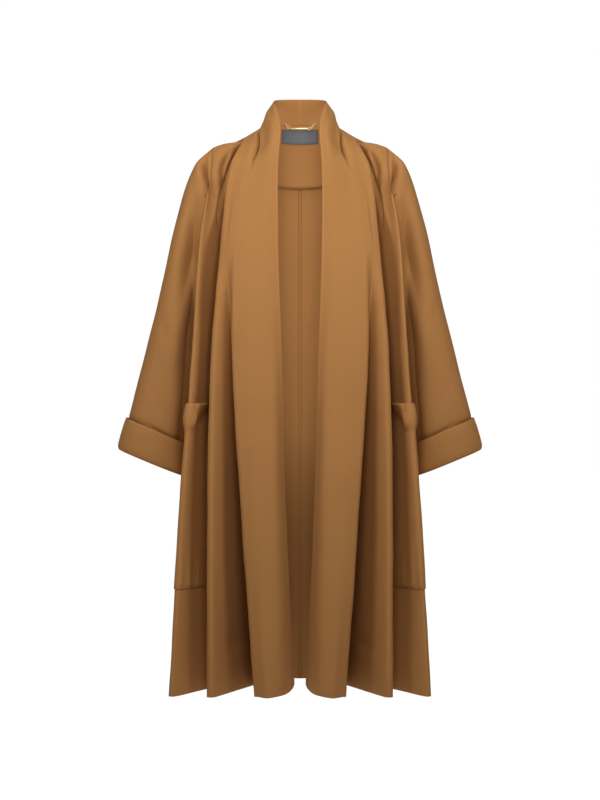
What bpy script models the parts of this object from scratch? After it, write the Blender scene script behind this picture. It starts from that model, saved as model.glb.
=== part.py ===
"""Oversized open-front coat with a grown-on shawl collar, filled out as if it were worn.

Metres, +Z up, the front faces -Y. The origin is the seat on the wearer's shoulders.
Places are written as (out, y, z): out is the distance from the centre plane, and each
side of the coat mirrors it, the wearer's left at +X. A sheet of cloth is a grid of
places, columns x rows x 3, whose rows run from its top seam down to its hem.
"""
import bpy
import numpy as np

for stale in list(bpy.data.objects):
    bpy.data.objects.remove(stale, do_unlink=True)

# Driving sizes
WALL = 0.002
LAYER = 0.0026
WAIST_Z = -0.45
HIP_Z = -0.70
HEM_Z = -1.105
CENTRE_GAP = 0.0003
SIDES = {"left": 1, "right": -1}

# Front, one row for each fold line from the opening edge to the side seam.
# top, yoke and chest are places, waist and hip are (out, y), hem is (out, y, lift),
# nose is the fold's radius at (top, hem), turn is 1 on a ridge and -1 in a valley,
# over is 1 where the cloth leaves the shoulder seam forwards.
FRONT_FOLDS = (
    # name, top, yoke, chest, waist, hip, hem, nose, turn, over
    ("edge", None, (.0434, -.088, -.082), (.0425, -.121, -.25),
     (.0358, -.131), (.0300, -.118), (.0115, -.085, .030), None, 0, 0),
    ("crest", None, (.0620, -.092, -.082), (.0640, -.125, -.25),
     (.0530, -.1425), (.0475, -.149), (.0340, -.143, .005), None, 0, 0),
    ("neck_dart", (.0755, .0070, .0170), (.0931, -.081, -.081), (.1000, -.124, -.25),
     (.0950, -.146), (.0820, -.154), (.0620, -.157, .000), None, 0, 1),
    ("face_side", (.0880, .0050, .0085), (.1120, -.074, -.080), (.1270, -.119, -.25),
     (.1290, -.139), (.1140, -.146), (.0868, -.140, .000), (.0025, .008), 1, 1),
    ("inner_valley", (.0985, .0050, .0015), (.1215, -.069, -.079), (.1390, -.113, -.25),
     (.1270, -.094), (.1100, -.048), (.0840, .008, .006), (.0025, .008), -1, 1),
    ("pleat_ridge", (.1125, .0050, -.0085), (.1385, -.057, -.078), (.1552, -.105, -.25),
     (.1674, -.131), (.1726, -.144), (.1721, -.155, .003), (.0025, .008), 1, 1),
    ("pleat_valley", (.1020, .0050, -.0140), (.1250, -.028, -.080), (.1530, -.032, -.25),
     (.1640, -.034), (.1670, -.048), (.1580, -.080, .004), (.0025, .008), -1, 1),
    ("side_face", (.1480, .0050, -.0165), (.1400, -.034, -.085), (.1690, -.051, -.25),
     (.1795, -.058), (.1895, -.066), (.1850, -.088, .003), None, 0, 1),
    ("shoulder_tip", (.1732, .0050, -.0245), (.1560, -.042, -.100), (.1815, -.069, -.25),
     (.1905, -.084), (.2050, -.094), (.2080, -.112, .005), None, 0, 1),
    ("armhole_front", (.1757, -.040, -.075), (.1740, -.058, -.150), (.1900, -.0805, -.25),
     (.1985, -.1030), (.2165, -.122), (.2310, -.139, .006), None, 0, 0),
    ("side_ridge", (.1812, -.064, -.122), (.1913, -.0755, -.181), (.1986, -.086, -.256),
     (.2090, -.110), (.2262, -.132), (.2495, -.150, .004), (.0022, .005), 1, 0),
    ("side_front", (.1785, -.038, -.205), (.1735, -.040, -.260), (.1745, -.044, -.330),
     (.1830, -.048), (.2070, -.060), (.2380, -.070, .000), None, 0, 0),
    ("side_seam", (.1660, .0062, -.285), (.1660, .0062, -.320), (.1680, .0062, -.370),
     (.1700, .0062), (.1920, .0062), (.2330, .0104, .000), None, 0, 0),
)
BAND_FOLDS = FRONT_FOLDS[:3]
BODY_FOLDS = FRONT_FOLDS[2:]
SEAM_CORNERS = ("neck", "shoulder_tip")

# Collar, one row for each section of its band round the neck, as far as the chest.
COLLAR_SECTIONS = (
    # name, edge, crest, seam
    ("centre_back", (.0000, .0820, .0830), (.0000, .0885, .0570), (.0000, .0880, .0320)),
    ("corner", (.0500, .0620, .0780), (.0610, .0640, .0540), (.0620, .0560, .0270)),
    ("side", (.0475, .0120, .0570), (.0672, .0140, .0430), (.0755, .0070, .0170)),
    ("front", (.0390, -.0420, .0120), (.0570, -.0470, .0000), (.0821, -.0420, -.0350)),
)
DART_GAP = 0.0016
NECK_GAP = 0.0012
SHOULDER_SEAM_Y = {"front": 0.0050, "back": 0.0063}

# Back, one row for each fold line from the centre back seam to the side seam.
BACK_FOLDS = (
    # name, top, yoke, chest, waist, hip, hem, nose, turn, over
    ("centre_back", (.0000, .0885, .0312), (.0000, .105, -.0925), (.0000, .114, -.25),
     (.0000, .119), (.0000, .124), (.0000, .131, .000), None, 0, 0),
    ("nape", (.0622, .0562, .0262), (.0500, .101, -.0900), (.0520, .117, -.25),
     (.0560, .126), (.0620, .137), (.0720, .156, .000), None, 0, 0),
    ("neck", (.0765, .0078, .0150), (.0780, .094, -.0865), (.0840, .112, -.25),
     (.0970, .113), (.1080, .109), (.1250, .100, .003), None, 0, 1),
    ("shoulder", (.1280, .0078, -.0130), (.1080, .087, -.0850), (.1180, .112, -.25),
     (.1380, .121), (.1520, .133), (.1780, .153, .000), None, 0, 1),
    ("shoulder_tip", (.1732, .0078, -.0245), (.1400, .079, -.0920), (.1500, .104, -.25),
     (.1650, .108), (.1810, .105), (.2120, .104, .003), None, 0, 1),
    ("armhole_back", (.1775, .0620, -.0850), (.1640, .089, -.1480), (.1740, .095, -.25),
     (.1820, .098), (.2050, .107), (.2430, .118, .000), None, 0, 0),
    ("side_back", (.1760, .0760, -.2050), (.1770, .074, -.2600), (.1780, .066, -.33),
     (.1800, .062), (.2030, .064), (.2430, .070, .000), None, 0, 0),
    ("side_seam", (.1660, .0070, -.2850), (.1660, .0070, -.3200), (.1680, .0070, -.37),
     (.1700, .0070), (.1920, .0070), (.2330, .0112, .000), None, 0, 0),
)

# Sleeve, one row for each section below the armhole: where its outer and inner lines
# pass in (out, z), its reach to the front and back, the angle round it of the deep valley
# that hangs plumb in its front, and its share of the valley's and the troughs' depth.
SLEEVE_SECTIONS = (
    # name, outer, inner, front, back, valley, share
    ("head", (.2085, -.0600), (.1745, -.2960), .062, .076, 62, 0.15),
    ("upper_arm", (.2433, -.1615), (.1795, -.3350), .066, .076, 84, 0.9),
    ("elbow", (.2834, -.3380), (.1865, -.4300), .068, .072, 120, 1.1),
    ("forearm", (.3194, -.4800), (.2000, -.5650), .066, .066, 137, 0.9),
    ("end", (.3570, -.6270), (.2150, -.6850), .062, .060, 142, 0.15),
)
SLEEVE_VALLEY = {"outside": 22, "inside": 44, "depth": 0.034}
SLEEVE_AXIS_Y = 0.006
# The sleeve hangs flatter than an ellipse on its outer side, less and less towards the body.
SLEEVE_FLATNESS = {"outer": 0.45, "reach": 0.35}
# Long soft troughs at the back of the sleeve, by angle round it from the outer line over the front.
SLEEVE_TROUGHS = (
    # angle, half width, depth
    (232, 30, .012),
    (300, 22, .006),
)
ARMHOLE_GAP = {"tip": 0.0014, "underarm": 0.0032}
ARMHOLE_TUCK = 0.0022

# Trim
CUFF_HEIGHT = 0.062
CUFF_STAND = 0.0060
CUFF_DROP = 0.0014
POCKET_TOP_Z = -0.538
POCKET_BOTTOM_Z = -0.895
POCKET_GAPE = 0.007
GAPE_DEPTH = 0.12
BAND_HEIGHT = 0.048
LABEL_SIZE = (0.074, 0.029)
LABEL_TOP_Z = 0.0205
LABEL_WALL = 0.001
CHAIN_RADIUS = 0.001
CHAIN_ROUTE = ((.0320, .0340), (.0285, .0295), (.0240, .0262), (.0190, .0245))
BAR_SIZE = (0.0368, 0.0016, 0.0032)

# Grid steps between the rows of the tables
COLLAR_STEPS = (2, 3, 2, 2)
NECK_ROW = sum(COLLAR_STEPS[:2])
YOKE_ROW = sum(COLLAR_STEPS)
UPPER_ROWS = YOKE_ROW - NECK_ROW
LOWER_STEPS = (4, 4, 4, 5)
FRONT_STEP = 2
BACK_STEP = 3
SLEEVE_STEPS = (2, 2, 3, 3, 3)
SLEEVE_COLUMNS = 22
POCKET_ROWS = 9
BAND_ROWS = 3


def unit(vectors):
    return vectors / np.linalg.norm(vectors, axis=-1, keepdims=True)


def across(vectors, line):
    """The part of each vector that is square to a unit line."""
    return vectors - line * np.sum(vectors * line, axis=-1, keepdims=True)


def curve_through(points, steps, start=None, corner=None):
    """Smooth curves through points[i, k], i along each curve, with steps[i] pieces a span.

    corner[i, k] is 1 where the curve turns sharply at a point and 0 where it is smooth.
    """
    spans = np.diff(points, axis=0)
    lengths = np.linalg.norm(spans, axis=2, keepdims=True)
    slopes = spans / lengths
    smooth = (points[2:] - points[:-2]) / (lengths[1:] + lengths[:-1])
    sharp = 0 if corner is None else corner[1:-1, :, None]
    leaving = slopes.copy()
    leaving[1:] = smooth + sharp * (slopes[1:] - smooth)
    arriving = slopes.copy()
    arriving[:-1] = smooth + sharp * (slopes[:-1] - smooth)
    if start is not None:
        leaving[0] = start
    samples = [points[:1]]
    for i, count in enumerate(steps):
        t = (np.arange(1, count + 1) / count)[:, None, None]
        rise = t * t * (3 - 2 * t)
        leave = t * (1 - t) ** 2 * lengths[i] * leaving[i]
        arrive = t * t * (t - 1) * lengths[i] * arriving[i]
        samples.append(points[i] * (1 - rise) + points[i + 1] * rise + leave + arrive)
    return np.concatenate(samples)


def at_heights(line, heights):
    """Places on one hanging line at the given heights."""
    return np.stack([np.interp(-heights, -line[:, 2], line[:, k]) for k in range(3)], axis=1)


def lower_stations(fold):
    """The places of a fold line from the yoke down to the hem."""
    yoke, chest, waist, hip, hem = fold[2:7]
    return [yoke, chest, (*waist, WAIST_Z), (*hip, HIP_Z), (*hem[:2], HEM_Z + hem[2])]


def hanging_lines(folds, forward):
    """Fold lines from their top seam to the hem, as rows x folds x 3."""
    stations = np.array([[fold[1], *lower_stations(fold)] for fold in folds]).swapaxes(0, 1)
    over = np.array([[fold[9]] for fold in folds])
    level = unit(np.array([0, forward, -0.35]))
    start = np.where(over, level, unit(stations[1] - stations[0]))
    return curve_through(stations, (UPPER_ROWS, *LOWER_STEPS), start)


def round_folds(lines, folds, step):
    """Give each ridge and valley a round nose: three lines where it had one.

    A fold from the shoulder turns along its row, one from the armhole along its height.
    Returns the lines, folds first, the steps between them, their corners at the top seam
    and each fold's column.
    """
    share = np.linspace(0, 1, len(lines))[:, None]
    near_seam = np.clip(1 - np.arange(len(lines)) / UPPER_ROWS, 0, 1)
    points = []
    steps = []
    corners = []
    columns = {}
    for i, fold in enumerate(folds):
        line = lines[:, i]
        nose, turn = fold[7:9]
        if nose is None:
            columns[fold[0]] = sum(steps)
            points.append(line)
            steps.append(step)
            corners.append(near_seam * (fold[0] in SEAM_CORNERS))
            continue
        columns[fold[0]] = sum(steps) + 1
        last, following = lines[:, i - 1], lines[:, i + 1]
        if not fold[9]:
            last, following = at_heights(last, line[:, 2]), at_heights(following, line[:, 2])
        down = unit(np.gradient(line, axis=0))
        arrive = unit(across(line - last, down))
        leave = unit(across(following - line, down))
        bend = 0.5 * (1 - np.sum(arrive * leave, axis=1, keepdims=True))
        radius = nose[0] + (nose[1] - nose[0]) * share
        spread = turn * radius * bend
        before = line - radius * arrive + spread * unit(np.cross(down, arrive))
        after = line + radius * leave + spread * unit(np.cross(down, leave))
        points += [before, line, after]
        steps += [1, 1, step]
        corners += [0 * near_seam] * 3
    return np.array(points), steps[:-1], np.array(corners), columns


def front_sheets():
    """The front below the yoke, its shoulder, and its grown-on collar, with the fold columns."""
    stations = []
    for column, fold in enumerate(BAND_FOLDS, start=1):
        stations.append([section[column] for section in COLLAR_SECTIONS] + lower_stations(fold))
    along_back = np.array([1.0, 0, 0])
    band = curve_through(np.array(stations).swapaxes(0, 1), COLLAR_STEPS + LOWER_STEPS, along_back)
    band[0, :, 0] = CENTRE_GAP
    body_lines = hanging_lines(BODY_FOLDS, -1)
    body, steps, corners, columns = round_folds(body_lines, BODY_FOLDS, FRONT_STEP)
    dart = band[NECK_ROW:, 2]
    body[0] = dart
    edge_steps = [FRONT_STEP] * 2
    edge_lines = band[YOKE_ROW:, :2].swapaxes(0, 1)
    lower = curve_through(np.concatenate([edge_lines, body[:, UPPER_ROWS:]]), edge_steps + steps)
    body[0, :UPPER_ROWS, 0] += DART_GAP
    shoulder = curve_through(body[:, :UPPER_ROWS + 1], steps, None, corners[:, :UPPER_ROWS + 1])
    collar = curve_through(band[:YOKE_ROW + 1].swapaxes(0, 1), edge_steps)
    dart_column = sum(edge_steps)
    seam = shoulder[1:columns["shoulder_tip"] + 1, 0]
    seam[:, 1] = np.minimum(seam[:, 1], SHOULDER_SEAM_Y["front"])
    shoulder[:, -1] = lower[dart_column:, 0]
    collar[:, -1] = lower[:dart_column + 1, 0]
    lower_columns = {name: dart_column + column for name, column in columns.items()}
    return lower, shoulder, collar, columns, lower_columns


def back_sheet(neck_seam):
    """One half of the back from its top seam to the hem, with the fold columns."""
    lines, steps, corners, columns = round_folds(hanging_lines(BACK_FOLDS, 1), BACK_FOLDS, BACK_STEP)
    back = curve_through(lines, steps, np.array([1.0, 0, 0]), corners)
    neck = back[1:columns["neck"], 0]
    neck[:, 1] = np.interp(neck[:, 0], neck_seam[:, 0], neck_seam[:, 1])
    neck[:, 2] = np.interp(neck[:, 0], neck_seam[:, 0], neck_seam[:, 2]) - NECK_GAP
    seam = back[columns["neck"] + 1:columns["shoulder_tip"] + 1, 0]
    seam[:, 1] = SHOULDER_SEAM_Y["back"]
    return back, columns


def sheet_normals(sheet):
    """Unit normals of a sheet, outwards on the front and inwards on the back."""
    return unit(np.cross(np.gradient(sheet, axis=1), np.gradient(sheet, axis=0)))


def armhole_ring(front, back):
    """The sleeve's sewn edge and its angles, from the shoulder tip over the front and back."""
    halves = []
    for edge in (front, back[::-1]):
        walk = np.concatenate([[0], np.cumsum(np.linalg.norm(np.diff(edge, axis=0), axis=1))])
        even = np.linspace(0, walk[-1], SLEEVE_COLUMNS // 2 + 1)[:-1]
        halves.append(np.stack([np.interp(even, walk, edge[:, k]) for k in range(3)], axis=1))
    ring = np.concatenate(halves)
    angle = np.linspace(0, 2 * np.pi, SLEEVE_COLUMNS, endpoint=False)
    under = (0.5 - 0.5 * np.cos(angle))[:, None]
    ring = ring + ARMHOLE_TUCK * under * unit(ring.mean(axis=0) - ring)
    gap = ARMHOLE_GAP["tip"] + (ARMHOLE_GAP["underarm"] - ARMHOLE_GAP["tip"]) * under[:, 0]
    ring[:, 0] += gap
    return ring, angle


def sleeve_sheet(ring, angle):
    """The sleeve from the armhole to its end, as columns round it x rows."""
    sections = [ring]
    trough = np.zeros(len(angle))
    for centre, width, depth in SLEEVE_TROUGHS:
        trough += depth * np.exp(-((np.degrees(angle) - centre) / width) ** 2)
    flatter = SLEEVE_FLATNESS["outer"] * np.clip(np.cos(angle) + SLEEVE_FLATNESS["reach"], 0, 1)
    bow = np.sign(np.sin(angle)) * np.abs(np.sin(angle)) ** (1 - flatter)
    for _, outer, inner, front, back, valley, share in SLEEVE_SECTIONS:
        outer, inner = np.array(outer), np.array(inner)
        middle, reach = (outer + inner) / 2, (outer - inner) / 2
        flat = middle + np.cos(angle)[:, None] * reach
        depth = np.where(np.sin(angle) > 0, front, back)
        y = SLEEVE_AXIS_Y - bow * depth
        section = np.stack([flat[:, 0], y, flat[:, 1]], axis=1)
        centre = np.array([middle[0], SLEEVE_AXIS_Y, middle[1]])
        beside = np.degrees(angle) - valley
        width = np.where(beside < 0, SLEEVE_VALLEY["outside"], SLEEVE_VALLEY["inside"])
        sunk = share * (trough + SLEEVE_VALLEY["depth"] * np.exp(-(beside / width) ** 2))
        sections.append(section + sunk[:, None] * unit(centre - section))
    return curve_through(np.array(sections), SLEEVE_STEPS).swapaxes(0, 1)


def cuff_sheet(sleeve):
    """The turned-back cuff: down outside the sleeve's end and in under it."""
    end = sleeve[:, -1]
    up = unit(sleeve[:, -2] - end)
    out = unit(end - end.mean(axis=0))
    rows = [end + up * height + out * CUFF_STAND for height in (CUFF_HEIGHT, CUFF_HEIGHT / 2, 0)]
    rows.append(end - up * CUFF_DROP + out * CUFF_STAND * 0.75)
    rows.append(end - up * CUFF_DROP - out * WALL / 2)
    return np.array(rows).swapaxes(0, 1)


def pocket_sheet(lower, columns, rows, bottom, layers):
    """A patch on the side fold of the front, moved out, gaping at its mouth."""
    heights = np.linspace(POCKET_TOP_Z, bottom, rows)
    normals = sheet_normals(lower)
    span = slice(columns["side_face"], columns["side_front"] + 1)
    patch = np.array([at_heights(line, heights) for line in lower[span]])
    moves = np.array([[np.interp(-heights, -line[:, 2], normal[:, k]) for k in range(3)]
                      for line, normal in zip(lower[span], normals[span])]).swapaxes(1, 2)
    middle = np.sin(np.pi * np.linspace(0, 1, len(patch)))[:, None, None]
    mouth = np.clip(1 - (POCKET_TOP_Z - heights) / GAPE_DEPTH, 0, 1)[None, :, None] ** 1.5
    return patch + unit(moves) * (LAYER * layers + POCKET_GAPE * middle * mouth)


def both_halves(sheet):
    """A sheet that starts on the centre plane, with its mirror image."""
    mirror = sheet[:0:-1] * np.array([-1, 1, 1])
    return np.concatenate([mirror, sheet])


def facing_sheet(back, columns):
    """One half of the back neck facing, inside the back from the neck to its yoke line."""
    part = (slice(columns["neck"] + 1), slice(UPPER_ROWS + 1))
    facing = back[part] + LAYER * sheet_normals(back)[part]
    facing[0, :, 0] = 0
    return facing


def facing_y(facing, out, z):
    """How far back the facing lies at a place of the neck."""
    y = [np.interp(abs(out), facing[:, r, 0], facing[:, r, 1]) for r in range(facing.shape[1])]
    heights = [np.interp(abs(out), facing[:, r, 0], facing[:, r, 2]) for r in range(facing.shape[1])]
    return np.interp(-z, -np.array(heights), y)


def material(name, colour, roughness, metallic=0.0):
    finish = bpy.data.materials.new(name)
    finish.use_nodes = True
    shader = finish.node_tree.nodes["Principled BSDF"]
    shader.inputs["Base Color"].default_value = (*colour, 1)
    shader.inputs["Roughness"].default_value = roughness
    shader.inputs["Metallic"].default_value = metallic
    return finish


CAMEL_CLOTH = material("camel_cloth", (0.43, 0.21, 0.07), 0.85)
LABEL_WEAVE = material("label_weave", (0.11, 0.125, 0.13), 0.7)
GOLD_METAL = material("gold_metal", (0.85, 0.62, 0.25), 0.3, 1.0)


def place(name, data, finish):
    data.materials.append(finish)
    piece = bpy.data.objects.new(name, data)
    bpy.context.collection.objects.link(piece)
    return piece


def cloth(name, sheets, side, finish=CAMEL_CLOTH, wall=WALL, tube=False):
    """Weld sheets into one surface and give it its wall."""
    places = {}
    faces = []
    for sheet in sheets:
        index = [[places.setdefault(tuple(np.round(spot, 6)), len(places)) for spot in line]
                 for line in sheet]
        for c in range(len(index) if tube else len(index) - 1):
            near, far = index[c], index[(c + 1) % len(index)]
            for r in range(len(near) - 1):
                face = (near[r], near[r + 1], far[r + 1], far[r])
                faces.append(face[::side])
    mesh = bpy.data.meshes.new(name)
    mesh.from_pydata([(side * out, y, z) for out, y, z in places], [], faces)
    mesh.shade_smooth()
    solidify = place(name, mesh, finish).modifiers.new("wall", "SOLIDIFY")
    solidify.thickness = wall
    solidify.offset = 0


def chain_run(name, facing, side):
    """One run of the hanger chain, from the neck seam to the bar."""
    curve = bpy.data.curves.new(name, "CURVE")
    curve.dimensions = "3D"
    curve.bevel_depth = CHAIN_RADIUS
    curve.bevel_resolution = 2
    curve.use_fill_caps = True
    spline = curve.splines.new("POLY")
    spline.points.add(len(CHAIN_ROUTE) - 1)
    for point, (out, z) in zip(spline.points, CHAIN_ROUTE):
        point.co = (side * out, facing_y(facing, out, z) - LAYER, z, 1)
    place(name, curve, GOLD_METAL)


def hanger_bar(facing):
    width, depth, height = BAR_SIZE
    end_z = CHAIN_ROUTE[-1][1]
    y = facing_y(facing, width / 2, end_z) - LAYER
    corners = [(sx * width / 2, y + sy * depth / 2, end_z + sz * height / 2)
               for sx in (-1, 1) for sy in (-1, 1) for sz in (-1, 1)]
    faces = [(0, 1, 3, 2), (4, 6, 7, 5), (0, 4, 5, 1), (2, 3, 7, 6), (0, 2, 6, 4), (1, 5, 7, 3)]
    mesh = bpy.data.meshes.new("hanger_bar")
    mesh.from_pydata(corners, [], faces)
    bevel = place("hanger_bar", mesh, GOLD_METAL).modifiers.new("edges", "BEVEL")
    bevel.width = depth / 4


def label_sheet(facing):
    width, height = LABEL_SIZE
    columns = []
    for out in np.linspace(-width / 2, width / 2, 7):
        heights = np.linspace(LABEL_TOP_Z, LABEL_TOP_Z - height, 4)
        columns.append([(out, facing_y(facing, out, z) - LAYER, z) for z in heights])
    return np.array(columns)


lower, shoulder, collar, shoulder_columns, lower_columns = front_sheets()
back, back_columns = back_sheet(collar[-1, :NECK_ROW + 1])
facing = facing_sheet(back, back_columns)
half_back = back.copy()
half_back[0, :, 0] = CENTRE_GAP
front_edge = shoulder[shoulder_columns["shoulder_tip"]:, 0]
back_edge = back[back_columns["shoulder_tip"]:, 0]
sleeve = sleeve_sheet(*armhole_ring(front_edge, back_edge))
pocket = pocket_sheet(lower, lower_columns, POCKET_ROWS, POCKET_BOTTOM_Z, 1)
band = pocket_sheet(lower, lower_columns, BAND_ROWS, POCKET_TOP_Z - BAND_HEIGHT, 2)
for name, side in SIDES.items():
    cloth(f"front_collar_{name}", (lower, shoulder, collar), side)
    cloth(f"back_{name}", (half_back,), side)
    cloth(f"sleeve_{name}", (sleeve,), side, tube=True)
    cloth(f"cuff_{name}", (cuff_sheet(sleeve),), side, tube=True)
    cloth(f"pocket_{name}", (pocket,), side)
    cloth(f"pocket_band_{name}", (band,), side)
    chain_run(f"hanger_chain_{name}", facing, side)
cloth("neck_facing", (both_halves(facing),), 1)
cloth("label", (label_sheet(facing),), 1, LABEL_WEAVE, LABEL_WALL)
hanger_bar(facing)
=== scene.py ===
import bmesh
import bpy
import numpy as np
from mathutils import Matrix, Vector
from mathutils.kdtree import KDTree


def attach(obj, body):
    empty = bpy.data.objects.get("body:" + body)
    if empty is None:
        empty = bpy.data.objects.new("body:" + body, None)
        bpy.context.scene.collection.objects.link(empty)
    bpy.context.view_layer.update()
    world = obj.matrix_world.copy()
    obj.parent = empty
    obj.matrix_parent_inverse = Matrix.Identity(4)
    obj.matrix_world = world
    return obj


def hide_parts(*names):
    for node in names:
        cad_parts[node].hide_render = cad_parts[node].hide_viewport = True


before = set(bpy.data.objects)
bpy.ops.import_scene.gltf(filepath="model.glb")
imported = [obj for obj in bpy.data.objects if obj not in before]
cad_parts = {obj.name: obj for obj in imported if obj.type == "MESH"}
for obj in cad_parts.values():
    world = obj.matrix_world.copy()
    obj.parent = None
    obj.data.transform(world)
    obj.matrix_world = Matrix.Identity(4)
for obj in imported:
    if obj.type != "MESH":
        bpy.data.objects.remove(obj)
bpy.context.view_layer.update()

# Fronts with their grown-on shawl collar: on each side one piece of camel wool cloth runs from
# the hem over the chest and round the neck to the centre back. A dart shapes it at the neck,
# and a deep pleat caught in the shoulder seam opens into the long folds that hang to the hem.
SIDES = {"left": 1, "right": -1}
CLOTH = 0.0016
WAIST_Z = -0.45
HIP_Z = -0.70
HEM_Z = -1.105
SHOULDER_Y = 0.0056
# Turn is 1 on a ridge and -1 in a valley. Over is 1 where a line leaves its seam nearly level.
FRONT_FOLDS = (
    # name, top, yoke, chest, waist, hip, hem (out, y, lift), nose (top, hem), turn, over
    ("edge", None, (.0434, -.088, -.082), (.0425, -.121, -.25),
     (.0358, -.131), (.0300, -.118), (.0115, -.085, .006), None, 0, 0),
    ("crest", None, (.0620, -.092, -.082), (.0640, -.125, -.25),
     (.0530, -.1425), (.0475, -.149), (.0340, -.143, .005), None, 0, 0),
    ("neck_dart", (.0755, .0070, .0170), (.0931, -.081, -.081), (.1000, -.124, -.25),
     (.0950, -.146), (.0820, -.154), (.0620, -.157, .0015), None, 0, 1),
    ("face_side", (.0880, .0050, .0085), (.1120, -.074, -.080), (.1270, -.119, -.25),
     (.1290, -.139), (.1140, -.146), (.0868, -.140, .002), (.0025, .008), 1, 1),
    ("inner_valley", (.0985, .0050, .0015), (.1215, -.069, -.079), (.1390, -.113, -.25),
     (.1270, -.094), (.1100, -.048), (.0840, .008, .006), (.0025, .008), -1, 1),
    ("pleat_ridge", (.1125, .0050, -.0085), (.1385, -.063, -.078), (.1552, -.105, -.25),
     (.1674, -.131), (.1726, -.144), (.1721, -.155, .003), (.0025, .008), 1, 1),
    ("pleat_valley", (.1020, .0050, -.0112), (.1250, -.022, -.080), (.1530, -.032, -.25),
     (.1640, -.034), (.1670, -.048), (.1580, -.080, .011), (.0025, .008), -1, .2),
    ("side_face", (.1480, .0050, -.0165), (.1400, -.034, -.085), (.1690, -.051, -.25),
     (.1795, -.058), (.1895, -.066), (.1850, -.088, .009), None, 0, 1),
    ("shoulder_tip", (.1732, .0050, -.0245), (.1560, -.042, -.100), (.1815, -.069, -.25),
     (.1905, -.084), (.2050, -.094), (.2080, -.112, .0068), None, 0, 1),
    ("armhole_front", (.1757, -.040, -.075), (.1740, -.058, -.150), (.1900, -.0805, -.25),
     (.1985, -.1030), (.2165, -.122), (.2310, -.139, .0046), None, 0, 0),
    ("side_ridge", (.1812, -.064, -.122), (.1913, -.0755, -.181), (.1986, -.086, -.256),
     (.2090, -.110), (.2262, -.132), (.2495, -.150, .004), (.0022, .005), 1, 0),
    ("side_front", (.1785, -.038, -.205), (.1735, -.040, -.260), (.1745, -.044, -.330),
     (.1830, -.048), (.2070, -.060), (.2380, -.070, .000), None, 0, 0),
    ("side_seam", (.1660, .0066, -.285), (.1660, .0066, -.320), (.1680, .0066, -.370),
     (.1700, .0066), (.1920, .0066), (.2330, .0108, .000), None, 0, 0),
)
COLLAR_SECTIONS = (
    # name, edge, crest, seam
    ("centre_back", (.0000, .0820, .0830), (.0000, .0885, .0570), (.0000, .0880, .0320)),
    ("corner", (.0500, .0620, .0780), (.0610, .0640, .0540), (.0620, .0560, .0270)),
    ("side", (.0475, .0120, .0570), (.0672, .0140, .0430), (.0755, .0070, .0170)),
    ("front", (.0390, -.0420, .0120), (.0570, -.0470, .0000), (.0770, -.0420, -.0350)),
)
# Creases seen from the front: depth is below 0 in a trough, above on a ridge.
# Each runs down its path and fades over one width towards the centre front, another outwards.
FACE_CREASES = (
    # name, on side (0 both), path of (out, z), width in, width out, depth
    ("lapel_drag", 0, ((.131, -.094), (.138, -.160), (.143, -.231)), .009, .005, -.0016),
    ("lapel_dent", 1, ((.103, -.372), (.109, -.415)), .005, .005, -.0007),
    ("lapel_dent_low", -1, ((.092, -.520), (.099, -.590)), .006, .006, -.0006),
    ("lapel_sweep", 0, ((.062, -.150), (.066, -.280), (.063, -.400)), .016, .024, .0014),
    ("collar_ridge", 0, ((.0504, .0725), (.0524, .0503), (.0494, .0262)), .004, .004, .0016),
    ("pleat_roll", 0, ((.145, -.200), (.1490, -.350), (.1515, -.550), (.1550, -.800), (.155, -1.120)),
     .012, .015, .0040),
    ("face_roll", 0, ((.046, -.540), (.042, -.800), (.030, -1.060)), .012, .012, .0015),
    ("face_trough", 1, ((.070, -.700), (.064, -.900), (.056, -1.100)), .016, .016, -.0012),
    ("face_trough_right", -1, ((.074, -.760), (.066, -.940), (.060, -1.110)), .018, .018, -.0014),
    ("pleat_hem", 0, ((.110, -1.020), (.128, -1.034), (.150, -1.050)), .012, .012, .0016),
    ("pleat_hem_dip", 0, ((.108, -1.000), (.124, -1.008), (.146, -1.020)), .010, .010, -.0022),
)
# Creases in the cloth that lies under the pleat and runs on to the side fold.
UNDER_CREASES = (
    # name, on side (0 both), path of (out, z), width in, width out, depth
    ("shoulder_arc", 0, ((.100, .010), (.112, -.012), (.125, -.034), (.138, -.0635), (.152, -.103),
                         (.155, -.133), (.158, -.193)), .010, .0050, -.0200),
    ("shoulder_tuck", 0, ((.140, -.034), (.146, -.048), (.153, -.064), (.154, -.078), (.153, -.110)),
     .0045, .0050, -.0100),
    ("shoulder_dome", 0, ((.134, -.018), (.156, -.036), (.166, -.064), (.168, -.110)), .007, .012, .0030),
    ("side_panel_drag", 1, ((.176, -.200), (.186, -.330), (.190, -.430)), .010, .010, -.0015),
    ("side_panel_roll", -1, ((.178, -.220), (.187, -.300), (.192, -.400)), .009, .009, -.0012),
)
# A crease shows on cloth that faces the crease's side of the coat, and fades at both its ends.
CREASE_FACING = {"none": 0.1, "full": 0.5}
CREASE_ENDS = {"gain": 4.2, "power": 0.7}
HANDLE = 0.0008
HANDLE_WAVES = (
    # radians a metre along x, y and z, phase, weight
    (38, 0, 11, 1.3, 1.0),
    (-21, 17, 29, 0.4, 1.0),
    (23, 31, 61, 2.1, 0.6),
)
HEM_CORNER = {"columns": 14, "height": 0.0135, "rise": 0.12}
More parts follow.
